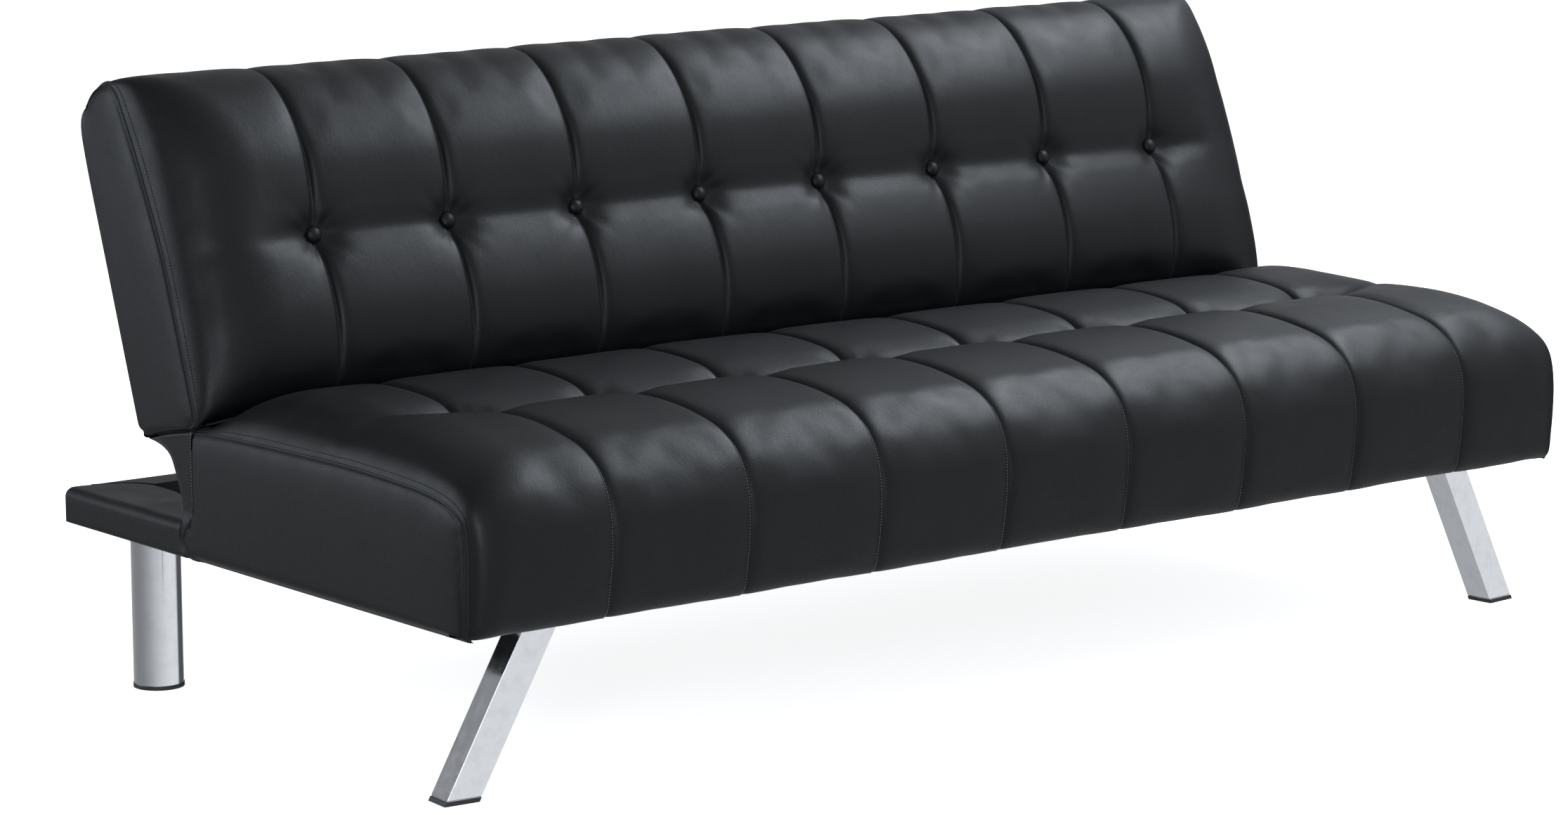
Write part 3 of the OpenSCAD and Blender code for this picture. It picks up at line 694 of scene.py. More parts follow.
def shelf_grid(half, rear, top):
    """The shelf's lid before its edges are rounded: rows from the seat to the rear edge and down the rear,
    columns up the left end, along the sofa and down the right end."""
    step = (2 * half - 2 * SHELF_R) / SHELF_STEP
    xs = np.concatenate([bend(SHELF_R) - half, np.linspace(SHELF_R - half, half - SHELF_R, int(step)),
                         half - bend(SHELF_R)])
    fine = np.arange(SHELF_FINE_X, HALF_W - 12, 3.0)
    xs = np.concatenate([xs[np.abs(xs) < SHELF_FINE_X - 3], fine, -fine, xs[np.abs(xs) > HALF_W - 11]])
    xs = np.unique(xs)
    ys = np.concatenate([np.linspace(SEAT_REAR + 1, 176, 17), np.linspace(180, rear - SHELF_R, 62)])
    ys = np.unique(np.concatenate([ys, rear - SHELF_R * np.cos(np.linspace(0, math.pi / 2, 9))[::-1]]))
    zs = np.unique(np.concatenate([UNDER_Z + np.array([0.0, 0.3, 1.0, 2.2, 4.0]),
                                   np.linspace(UNDER_Z + 8, top - SHELF_R, 5), top - bend(SHELF_R)]))[:-1]
    rows = [(y, top) for y in ys[ys <= rear][:-1]] + [(rear, top)] + [(rear, z) for z in zs][::-1]
    x = np.concatenate([[-half] * len(zs), xs, [half] * len(zs)])
    up = np.concatenate([zs, [top] * len(xs), zs[::-1]])
    return np.array([[(xi, y, min(z, zi)) for xi, zi in zip(x, up)] for y, z in rows], float)


def shelf_leather():
    """The shelf's rounded lid, open below and in front."""
    half, rear, top = HALF_W + SHELF_PROUD, SHELF_REAR + 2, SHELF_TOP + SHELF_PROUD
    g = shelf_grid(half, rear, top)
    g = rounded(g, (-half, SEAT_REAR - 30, UNDER_Z - 30), (half, rear, top), SHELF_R)
    turn = np.clip((UNDER_Z + 4 - g[..., 2]) / 4, 0, 1)
    under = 4 * (1 - np.sqrt(1 - turn**2))
    seam_y = np.interp(g[..., 2], *zip(*[(z, y) for y, z in SHELF_SEAM]))
    tuck = 3.3 * np.clip((seam_y + 3 - g[..., 1]) / 4, 0, 1) ** 2 * (np.abs(g[..., 0]) > HALF_W - 16)
    g[..., 0] -= np.sign(g[..., 0]) * (under * (np.abs(g[..., 0]) > half - 2) + tuck)
    g[..., 1] -= under * (g[..., 1] > rear - 2)
    sag = 0.36 * np.sin(g[..., 0] * 0.021) * np.sin(g[..., 1] * 0.05)
    high_part = np.clip((g[..., 2] - top + SHELF_R) / SHELF_R, 0, 1) ** 2
    cap = np.abs(g[..., 0]) - end_seam(g[..., 1])
    g[..., 2] += high_part * (sag + 0.8 * (1 - np.exp(-np.clip(cap, 0, None) / 8)))
    return welded(grid_mesh("shelf_upholstery", g))


def end_seam(y):
    """X of the curved seam between the shelf's top and the leather over its end."""
    front, rear = np.clip(345 - y, 0, None), np.clip(y - 345, 0, None)
    return 753 + 0.0038 * front**2 / (1 + front / 100) + 1.8e-6 * rear**4


def shelf_seam_painted_shade():
    """A raised strip of dark matte cloth along both curved seams, as painted shade of each seam's groove."""
    profile = [(-2.4, -0.6), (-1.5, 0.35), (0.0, 0.65), (1.5, 0.35), (2.4, -0.6)]
    y = np.linspace(SEAT_REAR + 2, 421, 130)
    line, _ = resample(np.stack([end_seam(y), y], 1), 4)
    t = np.gradient(line, axis=0)
    t /= np.linalg.norm(t, axis=1, keepdims=True)
    base_z = SHELF_TOP + SHELF_PROUD + 0.5
    strips = [np.array([[(side * (q[0] + w * d[1]), q[1] - w * d[0], base_z + h) for w, h in profile]
                        for q, d in zip(line, t)]) for side in (-1, 1)]
    return many_grids("shelf_seam_painted_shade", strips, [True, False])


def shelf_lining():
    """The matte lining let into the shelf's top between its curved end seams."""
    y = np.unique(np.concatenate([np.linspace(SEAT_REAR + 1, LINING_REAR - 4, 34),
                                  LINING_REAR - np.array([2.5, 1.5, 0.7, 0])]))
    reach = np.minimum(end_seam(y) - 1.2, LINING_HALF)
    s = np.linspace(-1, 1, 260)
    s = np.sign(s) * (1 - (1 - np.abs(s)) ** 1.3)
    x = s[None, :] * reach[:, None]
    edge = np.minimum(reach[:, None] - np.abs(x), (LINING_REAR - y)[:, None])
    z = SHELF_TOP + SHELF_PROUD - 0.8 + 1.6 * (1 - np.exp(-edge / 3.0))
    return grid_mesh("shelf_lining", np.stack([x, np.broadcast_to(y[:, None], x.shape), z], -1))


# ---------------------------------------------------------------- covered buttons
def button(cx, cz, seed):
    """One domed button with a rolled rim and small folds in its cover."""
    draw = np.random.default_rng(seed)
    spokes = 36
    a = np.linspace(0, 2 * math.pi, spokes, endpoint=False)
    profile = [(0.0, 7.2), (0.12, 7.15), (0.25, 6.95), (0.4, 6.5), (0.55, 5.85), (0.7, 4.95), (0.82, 4.0),
               (0.91, 3.0), (0.97, 2.0), (1.0, 1.0), (0.995, 0.0), (0.96, -1.2), (0.88, -2.2), (0.7, -3.0),
               (0.4, -3.2)]
    fold = sum(draw.uniform(0.2, 1) * np.cos(k * a + draw.uniform(0, 6.28)) for k in (5, 7, 11))
    pts = []
    for share, h in profile:
        wave = 0.16 * fold * share**3
        r = BUTTON_R * share + 0.12 * fold * share
        pts.append(np.stack([cx + r * np.cos(a), cz + r * np.sin(a), h + wave + 0 * a], 1))
    return np.array(pts)


def make_buttons(cover, surface):
    """All the buttons, each seated at the bottom of its dimple."""
    row = int(np.argmin(np.abs(cover.fs - cover.crease_s)))
    caps = []
    for k, sx in enumerate(SEAMS):
        col = int(np.argmin(np.abs(cover.x - sx)))
        around = [surface[row + dr, np.argmin(np.abs(cover.x - sx - dx)), 2]
                  for dr, dx in ((0, -11), (0, 11), (-2, -6), (-2, 6), (2, -6), (2, 6))]
        g = button(sx, surface[row, col, 1], 40 + k)
        g[..., 2] += np.mean(around) - 1.0
        caps.append(on_back(g))
    return welded(many_grids("button_caps", caps, [True] * len(caps), closed=True))


# ---------------------------------------------------------------- stitches
THREAD_W = 0.52
STITCH_PITCH = 3.5
STITCH_LEN = 2.5


def stitches(name, lines, normals):
    """Raised thread dashes along lines of points, with the surface normal at each point."""
    points, faces, base = [], [], 0
    ring = [(-1, 0.15), (-0.55, 0.85), (0.55, 0.85), (1, 0.15), (0, -0.5)]
    caps = ((0.0, 0.25, -0.15), (0.12, 0.8, 0.2), (0.3, 1.0, 0.42), (0.7, 1.0, 0.42), (0.88, 0.8, 0.2),
            (1.0, 0.25, -0.15))
    k = len(ring)
    for line, normal in zip(lines, normals):
        d = run_length(line)
        count = int(d[-1] / STITCH_PITCH)
        starts = (np.arange(count) + 0.5) * STITCH_PITCH + rng.uniform(-0.25, 0.25, count)
        for s0 in starts:
            at = s0 + STITCH_LEN * np.array([c[0] for c in caps])
            mid = np.stack([np.interp(at, d, line[:, k]) for k in range(3)], 1)
            up = np.array([np.interp(s0, d, normal[:, k]) for k in range(3)])
            up /= np.linalg.norm(up)
            run = mid[-1] - mid[0]
            across = np.cross(run, up)
            across /= max(np.linalg.norm(across), 1e-9)
            for m, (_, w, h) in zip(mid, caps):
                for ra, rn in ring:
                    points.append(m + across * ra * w * THREAD_W + up * (h + rn * w * THREAD_W))
            for i in range(base, base + (len(caps) - 1) * k, k):
                faces += [[i + j, i + (j + 1) % k, i + k + (j + 1) % k, i + k + j] for j in range(k)]
            faces.append([base + j for j in range(k)][::-1])
            faces.append([base + (len(caps) - 1) * k + j for j in range(k)])
            base += k * len(caps)
    return mesh_object(name, np.array(points), faces)


def thread_lines(p, n, to_space, runs):
    """The lines and normals of threads, each run being the rows and the column of a cover that it follows."""
    lines = [to_space(p[rows, col]) for rows, col in runs]
    normals = [to_space(p[rows, col] + n[rows, col]) - line for (rows, col), line in zip(runs, lines)]
    return lines, normals


def seam_threads(cover, p, to_space, first, last, shift):
    """Lines and normals for the thread along each seam between two panels."""
    keep = (cover.fs > first) & (cover.fs < last) & (np.abs(cover.fs - cover.crease_s) > 10)
    low, high = keep & (cover.fs < cover.crease_s), keep & (cover.fs > cover.crease_s)
    cols = [int(np.argmin(np.abs(cover.x - (sx + shift)))) for sx in SEAMS]
    return thread_lines(p, grid_normals(p), to_space, [(rows, col) for col in cols for rows in (low, high)])


def edge_threads(cover, p, to_space, first, last, inset):
    """Lines and normals for the thread along the end seams, on the cover's side of the seam."""
    keep = (cover.fs > first) & (cover.fs < last)
    cols = [int(np.argmin(np.abs(cover.x - k * (SEAM_X - inset)))) for k in (-1, 1)]
    return thread_lines(p, grid_normals(p), to_space, [(keep, col) for col in cols])


def offset_inside(points, inset, middle):
    """A line moved sideways by inset, towards the side on which a middle point lies."""
    q, _ = resample(smooth_path([tuple(v) for v in points])[0], 3)
    t = np.gradient(q[:, :2], axis=0)
    t /= np.maximum(np.linalg.norm(t, axis=1, keepdims=True), 1e-9)
    n = np.stack([-t[:, 1], t[:, 0]], 1)
    if ((np.array(middle) - q[len(q) // 2, :2]) @ n[len(q) // 2]) < 0:
        n = -n
    return q[:, :2] + n * inset


def panel_threads(points, inset, middle, to_space, height):
    """Lines and normals for a stitched row on both end panels."""
    q = offset_inside(points, inset, middle)
    lines, normals = [], []
    for k in (-1, 1):
        x = np.full(len(q), k * (SEAM_X + height))
        lines.append(to_space(np.column_stack([x, q])))
        normals.append(np.tile([float(k), 0.0, 0.0], (len(q), 1)))
    return lines, normals


# ---------------------------------------------------------------- materials
class Nodes:
    """A small builder for a node tree. A key such as i2 names an input by its number."""

    def __init__(self, tree):
        self.tree = tree

    def add(self, kind, settings=None, **sockets):
        node = self.tree.nodes.new(kind)
        for key, value in (settings or {}).items():
            setattr(node, key, value)
        for key, value in sockets.items():
            self.into(node, key.replace("_", " "), value)
        return node

    def into(self, node, key, value):
        socket = node.inputs[int(key[1:])] if key[0] == "i" and key[1:].isdigit() else node.inputs[key]
        if isinstance(value, bpy.types.NodeSocket):
            self.tree.links.new(value, socket)
        else:
            socket.default_value = value

    def span(self, value, low, high, to_low=0.0, to_high=1.0):
        return self.add("ShaderNodeMapRange", i0=value, i1=low, i2=high, i3=to_low, i4=to_high).outputs[0]

    def math(self, operation, a, b):
        return self.add("ShaderNodeMath", {"operation": operation}, i0=a, i1=b).outputs[0]

    def facing(self, direction, toward):
        """How far a direction points towards another one, from -1 to 1."""
        return self.add("ShaderNodeVectorMath", {"operation": "DOT_PRODUCT"}, i0=direction,
                        i1=Vector(toward).normalized()).outputs["Value"]


class Look(Nodes):
    """A small builder for one procedural material."""

    def __init__(self, name, **shader):
        self.material = bpy.data.materials.new(name)
        self.material.use_nodes = True
        super().__init__(self.material.node_tree)
        self.shader = self.tree.nodes["Principled BSDF"]
        self.where = self.add("ShaderNodeTexCoord").outputs["Object"]
        self.normal = None
        for key, value in shader.items():
            self.into(self.shader, key.replace("_", " "), value)

    def stretched(self, x, y, z):
        return self.add("ShaderNodeMapping", Vector=self.where, Scale=(x, y, z)).outputs[0]

    def noise(self, scale, detail=2.0, rough=0.5, where=None):
        return self.add("ShaderNodeTexNoise", Vector=where or self.where, Scale=scale, Detail=detail,
                        Roughness=rough).outputs[0]

    def cells(self, scale, feature="F1"):
        return self.add("ShaderNodeTexVoronoi", {"feature": feature}, Vector=self.where,
                        Scale=scale).outputs["Distance"]

    def waves(self, scale, axis, distortion=0.0, where=None):
        return self.add("ShaderNodeTexWave", {"bands_direction": axis}, Vector=where or self.where,
                        Scale=scale, Distortion=distortion).outputs["Fac"]

    def mix(self, share, a, b):
        """Two colours mixed, each a tuple or the output of a node."""
        node = self.add("ShaderNodeMix", {"data_type": "RGBA"}, i0=share)
        for key, value in (("i6", a), ("i7", b)):
            self.into(node, key, (*value, 1.0) if isinstance(value, tuple) else value)
        return node.outputs[2]

    def bump(self, height, strength, distance):
        node = self.add("ShaderNodeBump", Height=height, Strength=strength, Distance=distance)
        if self.normal is not None:
            self.tree.links.new(self.normal, node.inputs["Normal"])
        self.normal = node.outputs[0]

    def done(self, color=None, rough=None):
        for key, value in (("Base Color", color), ("Roughness", rough), ("Normal", self.normal)):
            if value is not None:
                self.into(self.shader, key, value)
        return self.material


def shade(color, k):
    return tuple(c * k for c in color)


GRAIN_PER_M = 1000.0


def leather(name, color, rough):
    """Faux leather: a pebble grain with painted shade darkening its valleys, slow changes of tone, slightly
    polished ridges.
    """
    m = Look(name, Specular_IOR_Level=0.22, Coat_Weight=0.04, Coat_Roughness=0.3)
    grain, pores = m.cells(GRAIN_PER_M, "SMOOTH_F1"), m.noise(2600, 2)
    wrinkle = m.noise(70, 5, 0.62, m.stretched(1.0, 1.0, 0.6))
    slow, patch = m.noise(4.5, 2), m.noise(28, 4)
    tone = m.mix(m.span(slow, 0.32, 0.68), shade(color, 0.82), shade(color, 1.16))
    # painted shade: the grain's valleys are darkened in the base colour
    tone = m.mix(m.span(grain, 0.15, 0.62), tone, shade(color, 0.45))
    m.bump(wrinkle, 0.25, 0.0012)
    m.bump(pores, 0.12, 0.0002)
    m.bump(m.span(grain, 0.1, 0.7, 1.0, 0.0), 0.3, 0.00028)
    uneven = m.span(patch, 0.3, 0.7, rough - 0.035, rough + 0.045)
    gloss = m.math("ADD", uneven, m.span(grain, 0.2, 0.7, 0, 0.1))
    return m.done(tone, gloss)


def lining(name, color):
    """Matte non-woven cloth with bonded dots and stray fibres."""
    m = Look(name, Specular_IOR_Level=0.06)
    dots, fibre = m.cells(620), m.noise(900, 4, 0.7, m.stretched(1, 0.25, 1))
    tone = m.mix(m.span(fibre, 0.35, 0.65), shade(color, 0.7), shade(color, 1.35))
    tone = m.mix(m.span(dots, 0.1, 0.3), shade(color, 0.55), tone)
    m.bump(m.math("ADD", fibre, dots), 0.5, 0.0004)
    return m.done(tone, m.span(m.noise(45, 3), 0.3, 0.7, 0.84, 0.96))


def thread(name, color):
    """Twisted sewing thread."""
    m = Look(name, Specular_IOR_Level=0.35)
    twist = m.noise(2200, 2, 0.5, m.stretched(1, 0.4, 1.6))
    m.bump(twist, 0.5, 0.0002)
    return m.done(m.mix(m.span(twist, 0.35, 0.65), shade(color, 0.75), shade(color, 1.2)),
                  m.span(m.noise(300), 0.3, 0.7, 0.5, 0.68))


def chrome(name, color):
    """Polished plate with faint drawing lines and a few dull marks."""
    m = Look(name, Metallic=1.0)
    lines, dull = m.noise(300, 3, 0.6, m.stretched(1.0, 1.0, 0.04)), m.noise(55, 5, 0.65)
    m.bump(lines, 0.02, 0.0004)
    tone = m.mix(m.span(dull, 0.45, 0.75), color, shade(color, 0.9))
    return m.done(tone, m.span(m.math("ADD", m.math("MULTIPLY", lines, 0.4), dull), 0.4, 1.1, 0.07, 0.2))


def zinc(name, color):
    m = Look(name, Metallic=1.0)
    grain, patch = m.noise(900, 3), m.cells(260)
    m.bump(grain, 0.15, 0.0002)
    tone = m.mix(m.span(patch, 0.1, 0.7), shade(color, 0.85), shade(color, 1.12))
    return m.done(tone, m.span(grain, 0.3, 0.7, 0.26, 0.44))


def enamel(name, color):
    m = Look(name, Specular_IOR_Level=0.5, Coat_Weight=0.3, Coat_Roughness=0.15)
    peel, worn = m.noise(420, 3), m.noise(38, 6, 0.7)
    m.bump(peel, 0.18, 0.0003)
    tone = m.mix(m.span(worn, 0.58, 0.72), color, shade(color, 2.6))
    return m.done(tone, m.span(worn, 0.4, 0.7, 0.24, 0.42))


def plastic(name, color):
    m = Look(name, Specular_IOR_Level=0.45)
    grain, scuff = m.noise(1500, 2), m.noise(90, 5, 0.7, m.stretched(1, 1, 3))
    m.bump(grain, 0.3, 0.00025)
    tone = m.mix(m.span(scuff, 0.5, 0.75), color, shade(color, 2.0))
    return m.done(tone, m.span(scuff, 0.3, 0.7, 0.42, 0.62))


def wood(name, color):
    """Sawn softwood: growth lines along the board, saw marks across it."""
    m = Look(name, Specular_IOR_Level=0.3)
    rings = m.noise(26, 4, 0.55, m.stretched(0.12, 1, 1))
    lines = m.waves(40, "Z", 6.0, m.stretched(0.1, 1, 1))
    saw = m.waves(160, "X", 2.0)
    tone = m.mix(m.span(rings, 0.35, 0.65), shade(color, 0.72), shade(color, 1.12))
    tone = m.mix(m.span(lines, 0.6, 1.0, 0.0, 0.45), tone, shade(color, 0.55))
    m.bump(m.math("ADD", rings, m.math("MULTIPLY", saw, 0.3)), 0.4, 0.0008)
    return m.done(tone, m.span(rings, 0.3, 0.7, 0.62, 0.82))


def webbing(name, color):
    """Woven elastic straps, with painted shade in the gaps between the yarns."""
    m = Look(name, Specular_IOR_Level=0.25, Sheen_Weight=0.2)
    warp, weft = m.waves(420, "X"), m.waves(420, "Y")
    weave = m.math("MULTIPLY", warp, weft)
    stripe = m.waves(34, "X")
    tone = m.mix(m.span(stripe, 0.8, 0.95), color, shade(color, 3.2))
    # painted shade: the gaps between the yarns are darkened in the base colour
    tone = m.mix(m.span(weave, 0.0, 0.6), shade(color, 0.5), tone)
    m.bump(weave, 0.7, 0.0005)
    return m.done(tone, m.span(m.noise(60, 3), 0.3, 0.7, 0.72, 0.88))


def foam(name, color):
    m = Look(name, Specular_IOR_Level=0.2, Sheen_Weight=0.15)
    pores, patch = m.cells(700), m.noise(7, 3)
    # painted shade: the foam's pores are darkened in the base colour
    tone = m.mix(m.span(pores, 0.05, 0.35), shade(color, 0.55), color)
    tone = m.mix(m.span(patch, 0.4, 0.7, 0.0, 0.3), tone, shade(color, 0.8))
    m.bump(pores, 0.6, 0.0009)
    return m.done(tone, m.span(patch, 0.3, 0.7, 0.85, 0.97))


LEATHER_COLOR = (0.0075, 0.0082, 0.0098)
LOOKS = {
    "black_leather": leather("black_leather", LEATHER_COLOR, 0.43),
    "black_cloth": lining("black_cloth", (0.0062, 0.0062, 0.0064)),
    "foam": foam("foam", (0.80, 0.72, 0.45)),
    "webbing": webbing("webbing", (0.03, 0.032, 0.035)),
    "frame_wood": wood("frame_wood", (0.56, 0.40, 0.23)),
    "leg_chrome": chrome("leg_chrome", (0.86, 0.87, 0.885)),
    "black_plastic": plastic("black_plastic", (0.016, 0.016, 0.017)),
    "screw_steel": zinc("screw_steel", (0.55, 0.56, 0.58)),
    "hinge_paint": enamel("hinge_paint", (0.02, 0.02, 0.021)),
    "thread_dark": thread("thread_dark", (0.020, 0.0215, 0.025)),
    "thread_light": thread("thread_light", (0.15, 0.155, 0.165)),
}


def dress_frame():
    """Gives each CAD node the look of its slot."""
    for row in frame["record"]["subparts"]:
        node = NODES[row["node"]]
        node.data.materials.clear()
        node.data.materials.append(LOOKS[row["material_slot"]])


def soften_edges(node, width, segments):
    """Small rounded edges on a CAD node, so that they catch the light."""
    weld = NODES[node].modifiers.new("corners", "WELD")
    weld.merge_threshold = 0.01 * MM
    bevel = NODES[node].modifiers.new("edges", "BEVEL")
    bevel.width, bevel.segments = width * MM, segments
    bevel.limit_method = "ANGLE"
    bevel.angle_limit = math.radians(40)
    bevel.harden_normals = True


def look_of(o, look):
    """Gives a piece its look."""
    o.data.materials.append(LOOKS[look])


def place(o, look, body, nodes=()):
    """Gives a piece its look and its body, and hides the CAD nodes that it stands for."""
    look_of(o, look)
    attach(o, body)
    if nodes:
        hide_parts(*nodes)
    return o


# ---------------------------------------------------------------- thin cloths under and behind the seat
DUST_SIDES, DUST_FRONT, DUST_REAR = 7, 33, 6
STAPLE_GAPS = (60, 61, 75)


def dust_sheet():
    """The lining stapled under the frame, sagging slightly between its staples."""
    low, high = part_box("dust_cloth")
    lx, hx = low.x / MM + DUST_SIDES, high.x / MM - DUST_SIDES
    ly, hy = low.y / MM + DUST_FRONT, high.y / MM - DUST_REAR
    gx, gy = np.meshgrid(np.linspace(lx, hx, 150), np.linspace(ly, hy, 76))
    rim = np.minimum(np.minimum(gx - lx, hx - gx), np.minimum(gy - ly, hy - gy))
    sag = 3.5 * (1 - np.exp(-rim / 90)) + 0.5 * np.sin(gx * 0.031 + gy * 0.012) * np.clip(rim / 60, 0, 1)
    staples = np.cos(gx * 2 * math.pi / STAPLE_GAPS[0]) * np.cos(gy * 2 * math.pi / STAPLE_GAPS[1])
    g = np.stack([gx, gy, low.z / MM + 0.4 - sag + 0.7 * staples * np.exp(-rim / 22)], -1)
    o = place(grid_mesh("dust_sheet", g, flip=True), "black_cloth", "seat", ["dust_cloth"])


def rear_sheet():
    """The lining over the back of the seat's frame."""
    low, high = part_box("seat_rear_cloth")
    x, z = np.linspace(low.x / MM, high.x / MM, 170), np.linspace(low.z / MM, high.z / MM, 14)
    gx, gz = np.meshgrid(x, z)
    rim = np.minimum(gz - z[0], z[-1] - gz)
    wave = 0.5 * np.sin(gx * 0.047) * np.exp(-rim / 60)
    wave += 0.4 * np.cos(gx * 2 * math.pi / STAPLE_GAPS[2]) * np.exp(-rim / 12)
    g = np.stack([gx, low.y / MM + 0.3 + 0.5 * wave, gz], -1)
    o = place(grid_mesh("rear_sheet", g, flip=True), "black_cloth", "seat", ["seat_rear_cloth"])


# ---------------------------------------------------------------- the pieces
# The rows of the sections at which the light thread on the seat's front ends, and at which the dark ones end
SEAT_FRONT_ROW, SEAT_LAST_ROW, BACK_LAST_ROW = 9.0, 25.0, 20.0
# How far a thread lies beside its panel seam, inside the end seam, and above an end panel
THREAD_SHIFT, EDGE_INSET, PANEL_LIFT = -2.2, 3.2, 0.2


def seat_rear_end(side):
    """The faux leather turned round the seat's rear end, behind the hinge web."""
    x, z = np.linspace(HALF_W - 50, SEAM_X - 6, 16), np.linspace(SHELF_TOP + 2, 342, 24)
    gx, gz = np.meshgrid(x, z)
    crease = 0.5 * np.sin(gz * 0.13 + gx * 0.2)
    g = np.stack([side * gx, SEAT_REAR + 0.2 + crease, gz], -1)
    return place(grid_mesh(sided("seat_rear_end", side), g, flip=side > 0), "black_leather", "seat")


def side_nodes(word, side):
    """The CAD nodes that an end panel stands for."""
    return [sided(word + "_side_panel", side), sided(word + "_side_pad", side)]


def make_seat():
    cover, p = make_seat_cover()
    place(grid_mesh("seat_upholstery", p), "black_leather", "seat",
          ["seat_cover", "seat_foam", "seat_front_pad"])
    for side in (-1, 1):
        place(seat_side(side), "black_leather", "seat", side_nodes("seat", side))
        seat_rear_end(side)
    front_end, last = cover.at_row(SEAT_FRONT_ROW), cover.at_row(SEAT_LAST_ROW)
    lines, normals = seam_threads(cover, p, on_seat, 12, front_end, THREAD_SHIFT)
    place(stitches("seat_front_thread", lines, normals), "thread_light", "seat")
    lines, normals = seam_threads(cover, p, on_seat, front_end, last, THREAD_SHIFT)
    edge, edge_n = edge_threads(cover, p, on_seat, 20, last, EDGE_INSET)
    side, side_n = panel_threads(SEAT_TOP_EDGE, STITCH_ROW, (-100, 250), on_seat, PANEL_LIFT)
    place(stitches("seat_thread", lines + edge + side, normals + edge_n + side_n), "thread_dark", "seat")


def make_back():
    cover, p = make_back_cover()
    place(grid_mesh("back_upholstery", on_back(p)), "black_leather", "backrest",
          ["back_cover", "back_foam"])
    for side in (-1, 1):
        place(back_side(side), "black_leather", "backrest", side_nodes("back", side))
    place(back_rear(), "black_leather", "backrest", ["back_rear_panel"])
    place(make_buttons(cover, p), "black_leather", "backrest", ["back_buttons"])
    last = cover.at_row(BACK_LAST_ROW)
    lines, normals = seam_threads(cover, p, on_back, 60, last, THREAD_SHIFT)
    edge, edge_n = edge_threads(cover, p, on_back, 60, last, EDGE_INSET)
    side, side_n = panel_threads(BACK_FRONT_EDGE, STITCH_ROW, (200, 60), on_back, PANEL_LIFT)
    place(stitches("back_thread", lines + edge + side, normals + edge_n + side_n), "thread_dark", "backrest")


def make_webs():
    for side in (-1, 1):
        web = hinge_web(side)
        look_of(web, "black_leather")
        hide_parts(sided("hinge_gusset", side))
        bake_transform(web)
        place(web_backing(side), "black_leather", "seat")
    thread_row = web_threads()
    look_of(thread_row, "thread_light")
    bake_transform(thread_row)


def make_shelf():
    place(shelf_leather(), "black_leather", "seat", ["shelf_cover"])
    # the dark strip along the shelf's curved seams is painted shade of their grooves
    place(shelf_seam_painted_shade(), "black_cloth", "seat")
    o = place(shelf_lining(), "black_cloth", "seat", ["shelf_cloth"])


# ---------------------------------------------------------------- studio
FLOOR_HALF = 14.0
FLOOR_GLOW = 0.82


def make_floor():
    """A white floor that glows as a lit sweep does, so that it stays white in the picture."""
    m = Look("floor_white", Emission_Color=(1, 1, 1, 1), Emission_Strength=FLOOR_GLOW)
    tone = m.mix(m.span(m.noise(0.8, 2), 0.3, 0.7), shade((0.93, 0.93, 0.935), 0.99), (0.93, 0.93, 0.935))
    white = m.done(tone, m.span(m.noise(3, 2), 0.3, 0.7, 0.86, 0.94))
    corners = [(x * FLOOR_HALF, y * FLOOR_HALF, 0) for x, y in ((-1, -1), (1, -1), (1, 1), (-1, 1))]
    mesh = bpy.data.meshes.new("floor")
    mesh.from_pydata(corners, [], [(0, 1, 2, 3)])
    mesh.materials.append(white)
    floor = bpy.data.objects.new("floor", mesh)
    bpy.context.scene.collection.objects.link(floor)
    floor.visible_glossy = False
    floor.visible_diffuse = False


def softbox(name, toward, distance, wide, high, watts, aim=(0.0, 0.0, 0.35)):
    """A rectangular light, placed in a direction from the sofa and turned to face it."""
    data = bpy.data.lights.new(name, "AREA")
    data.color = (0.86, 0.93, 1.0)
    data.shape, data.size, data.size_y, data.energy = "RECTANGLE", wide, high, watts
    lamp = bpy.data.objects.new(name, data)
    direction = Vector(toward).normalized()
    lamp.visible_camera = False
    lamp.location = Vector(aim) + direction * distance
    lamp.rotation_euler = direction.to_track_quat("Z", "Y").to_euler()
    bpy.context.scene.collection.objects.link(lamp)


BRIGHT_SIDE = (0.7, -0.55, -0.45)
FLAG_SIDE = (0.97, 0.12, -0.15)
WORLD_DIM, WORLD_BRIGHT = 0.23, 0.82


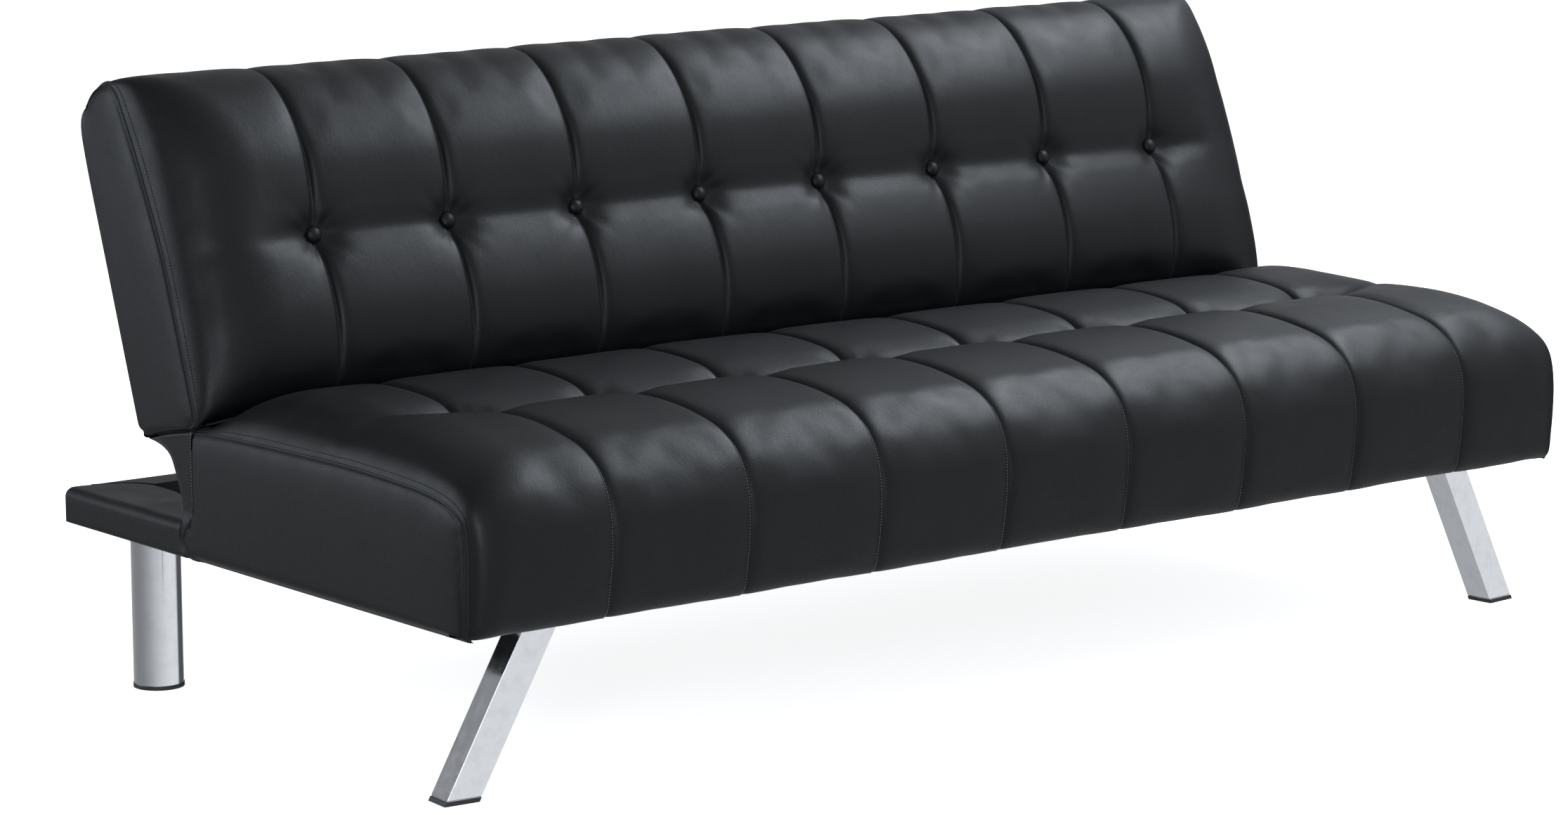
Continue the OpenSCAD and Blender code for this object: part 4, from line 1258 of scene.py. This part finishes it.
def make_light():
    """Surroundings that are bright on one side and dark where a black flag stands, and three soft lights.
    The camera sees plain white behind the sofa."""
    world = bpy.data.worlds.new("studio")
    bpy.context.scene.world = world
    world.use_nodes = True
    n = Nodes(world.node_tree)
    direction = n.add("ShaderNodeTexCoord").outputs["Generated"]
    level = n.span(n.facing(direction, BRIGHT_SIDE), -0.8, 0.9, WORLD_DIM, WORLD_BRIGHT)
    flag = n.span(n.facing(direction, FLAG_SIDE), 0.86, 0.94, 1.0, 0.12)
    lit = n.tree.nodes["Background"]
    n.into(lit, "i0", (0.93, 0.96, 1.0, 1))
    n.into(lit, "i1", n.math("MULTIPLY", level, flag))
    seen = n.add("ShaderNodeBackground", i0=(1, 1, 1, 1))
    camera_ray = n.add("ShaderNodeLightPath").outputs["Is Camera Ray"]
    mixed = n.add("ShaderNodeMixShader", i0=camera_ray, i1=lit.outputs[0], i2=seen.outputs[0])
    n.into(n.tree.nodes["World Output"], "i0", mixed.outputs[0])
    softbox("key", (0.62, -0.17, 0.74), 3.2, 3.2, 1.0, 105)
    softbox("edge", (-0.74, -0.64, 0.16), 5.0, 1.1, 1.8, 70)
    softbox("left", (-0.83, 0.52, 0.2), 4.5, 2.6, 2.2, 80)


CAMERA_AT = (-3.7252, -4.5659, 1.3492)
CAMERA_YAW, CAMERA_PITCH, CAMERA_ROLL = 38.551, 10.125, 0.121
CAMERA_LENS = 111.45


def make_camera():
    data = bpy.data.cameras.new("camera")
    data.lens, data.sensor_width, data.sensor_fit = CAMERA_LENS, 36.0, "HORIZONTAL"
    data.clip_end = 60
    camera = bpy.data.objects.new("camera", data)
    turn = Euler((math.radians(90 - CAMERA_PITCH), 0, -math.radians(CAMERA_YAW))).to_matrix()
    turn = turn @ Matrix.Rotation(-math.radians(CAMERA_ROLL), 3, "Z")
    camera.matrix_world = Matrix.Translation(CAMERA_AT) @ turn.to_4x4()
    bpy.context.scene.collection.objects.link(camera)
    bpy.context.scene.camera = camera


make_camera()
make_floor()
make_light()
dress_frame()
make_seat()
make_back()
make_webs()
make_shelf()
dust_sheet()
rear_sheet()
for leg in ("front_leg_left", "front_leg_right"):
    soften_edges(leg, 2.4, 3)
for cap in ("front_foot_cap_left", "front_foot_cap_right", "rear_foot_cap_left", "rear_foot_cap_right"):
    soften_edges(cap, 1.0, 2)

bpy.context.scene.view_settings.view_transform = "Standard"
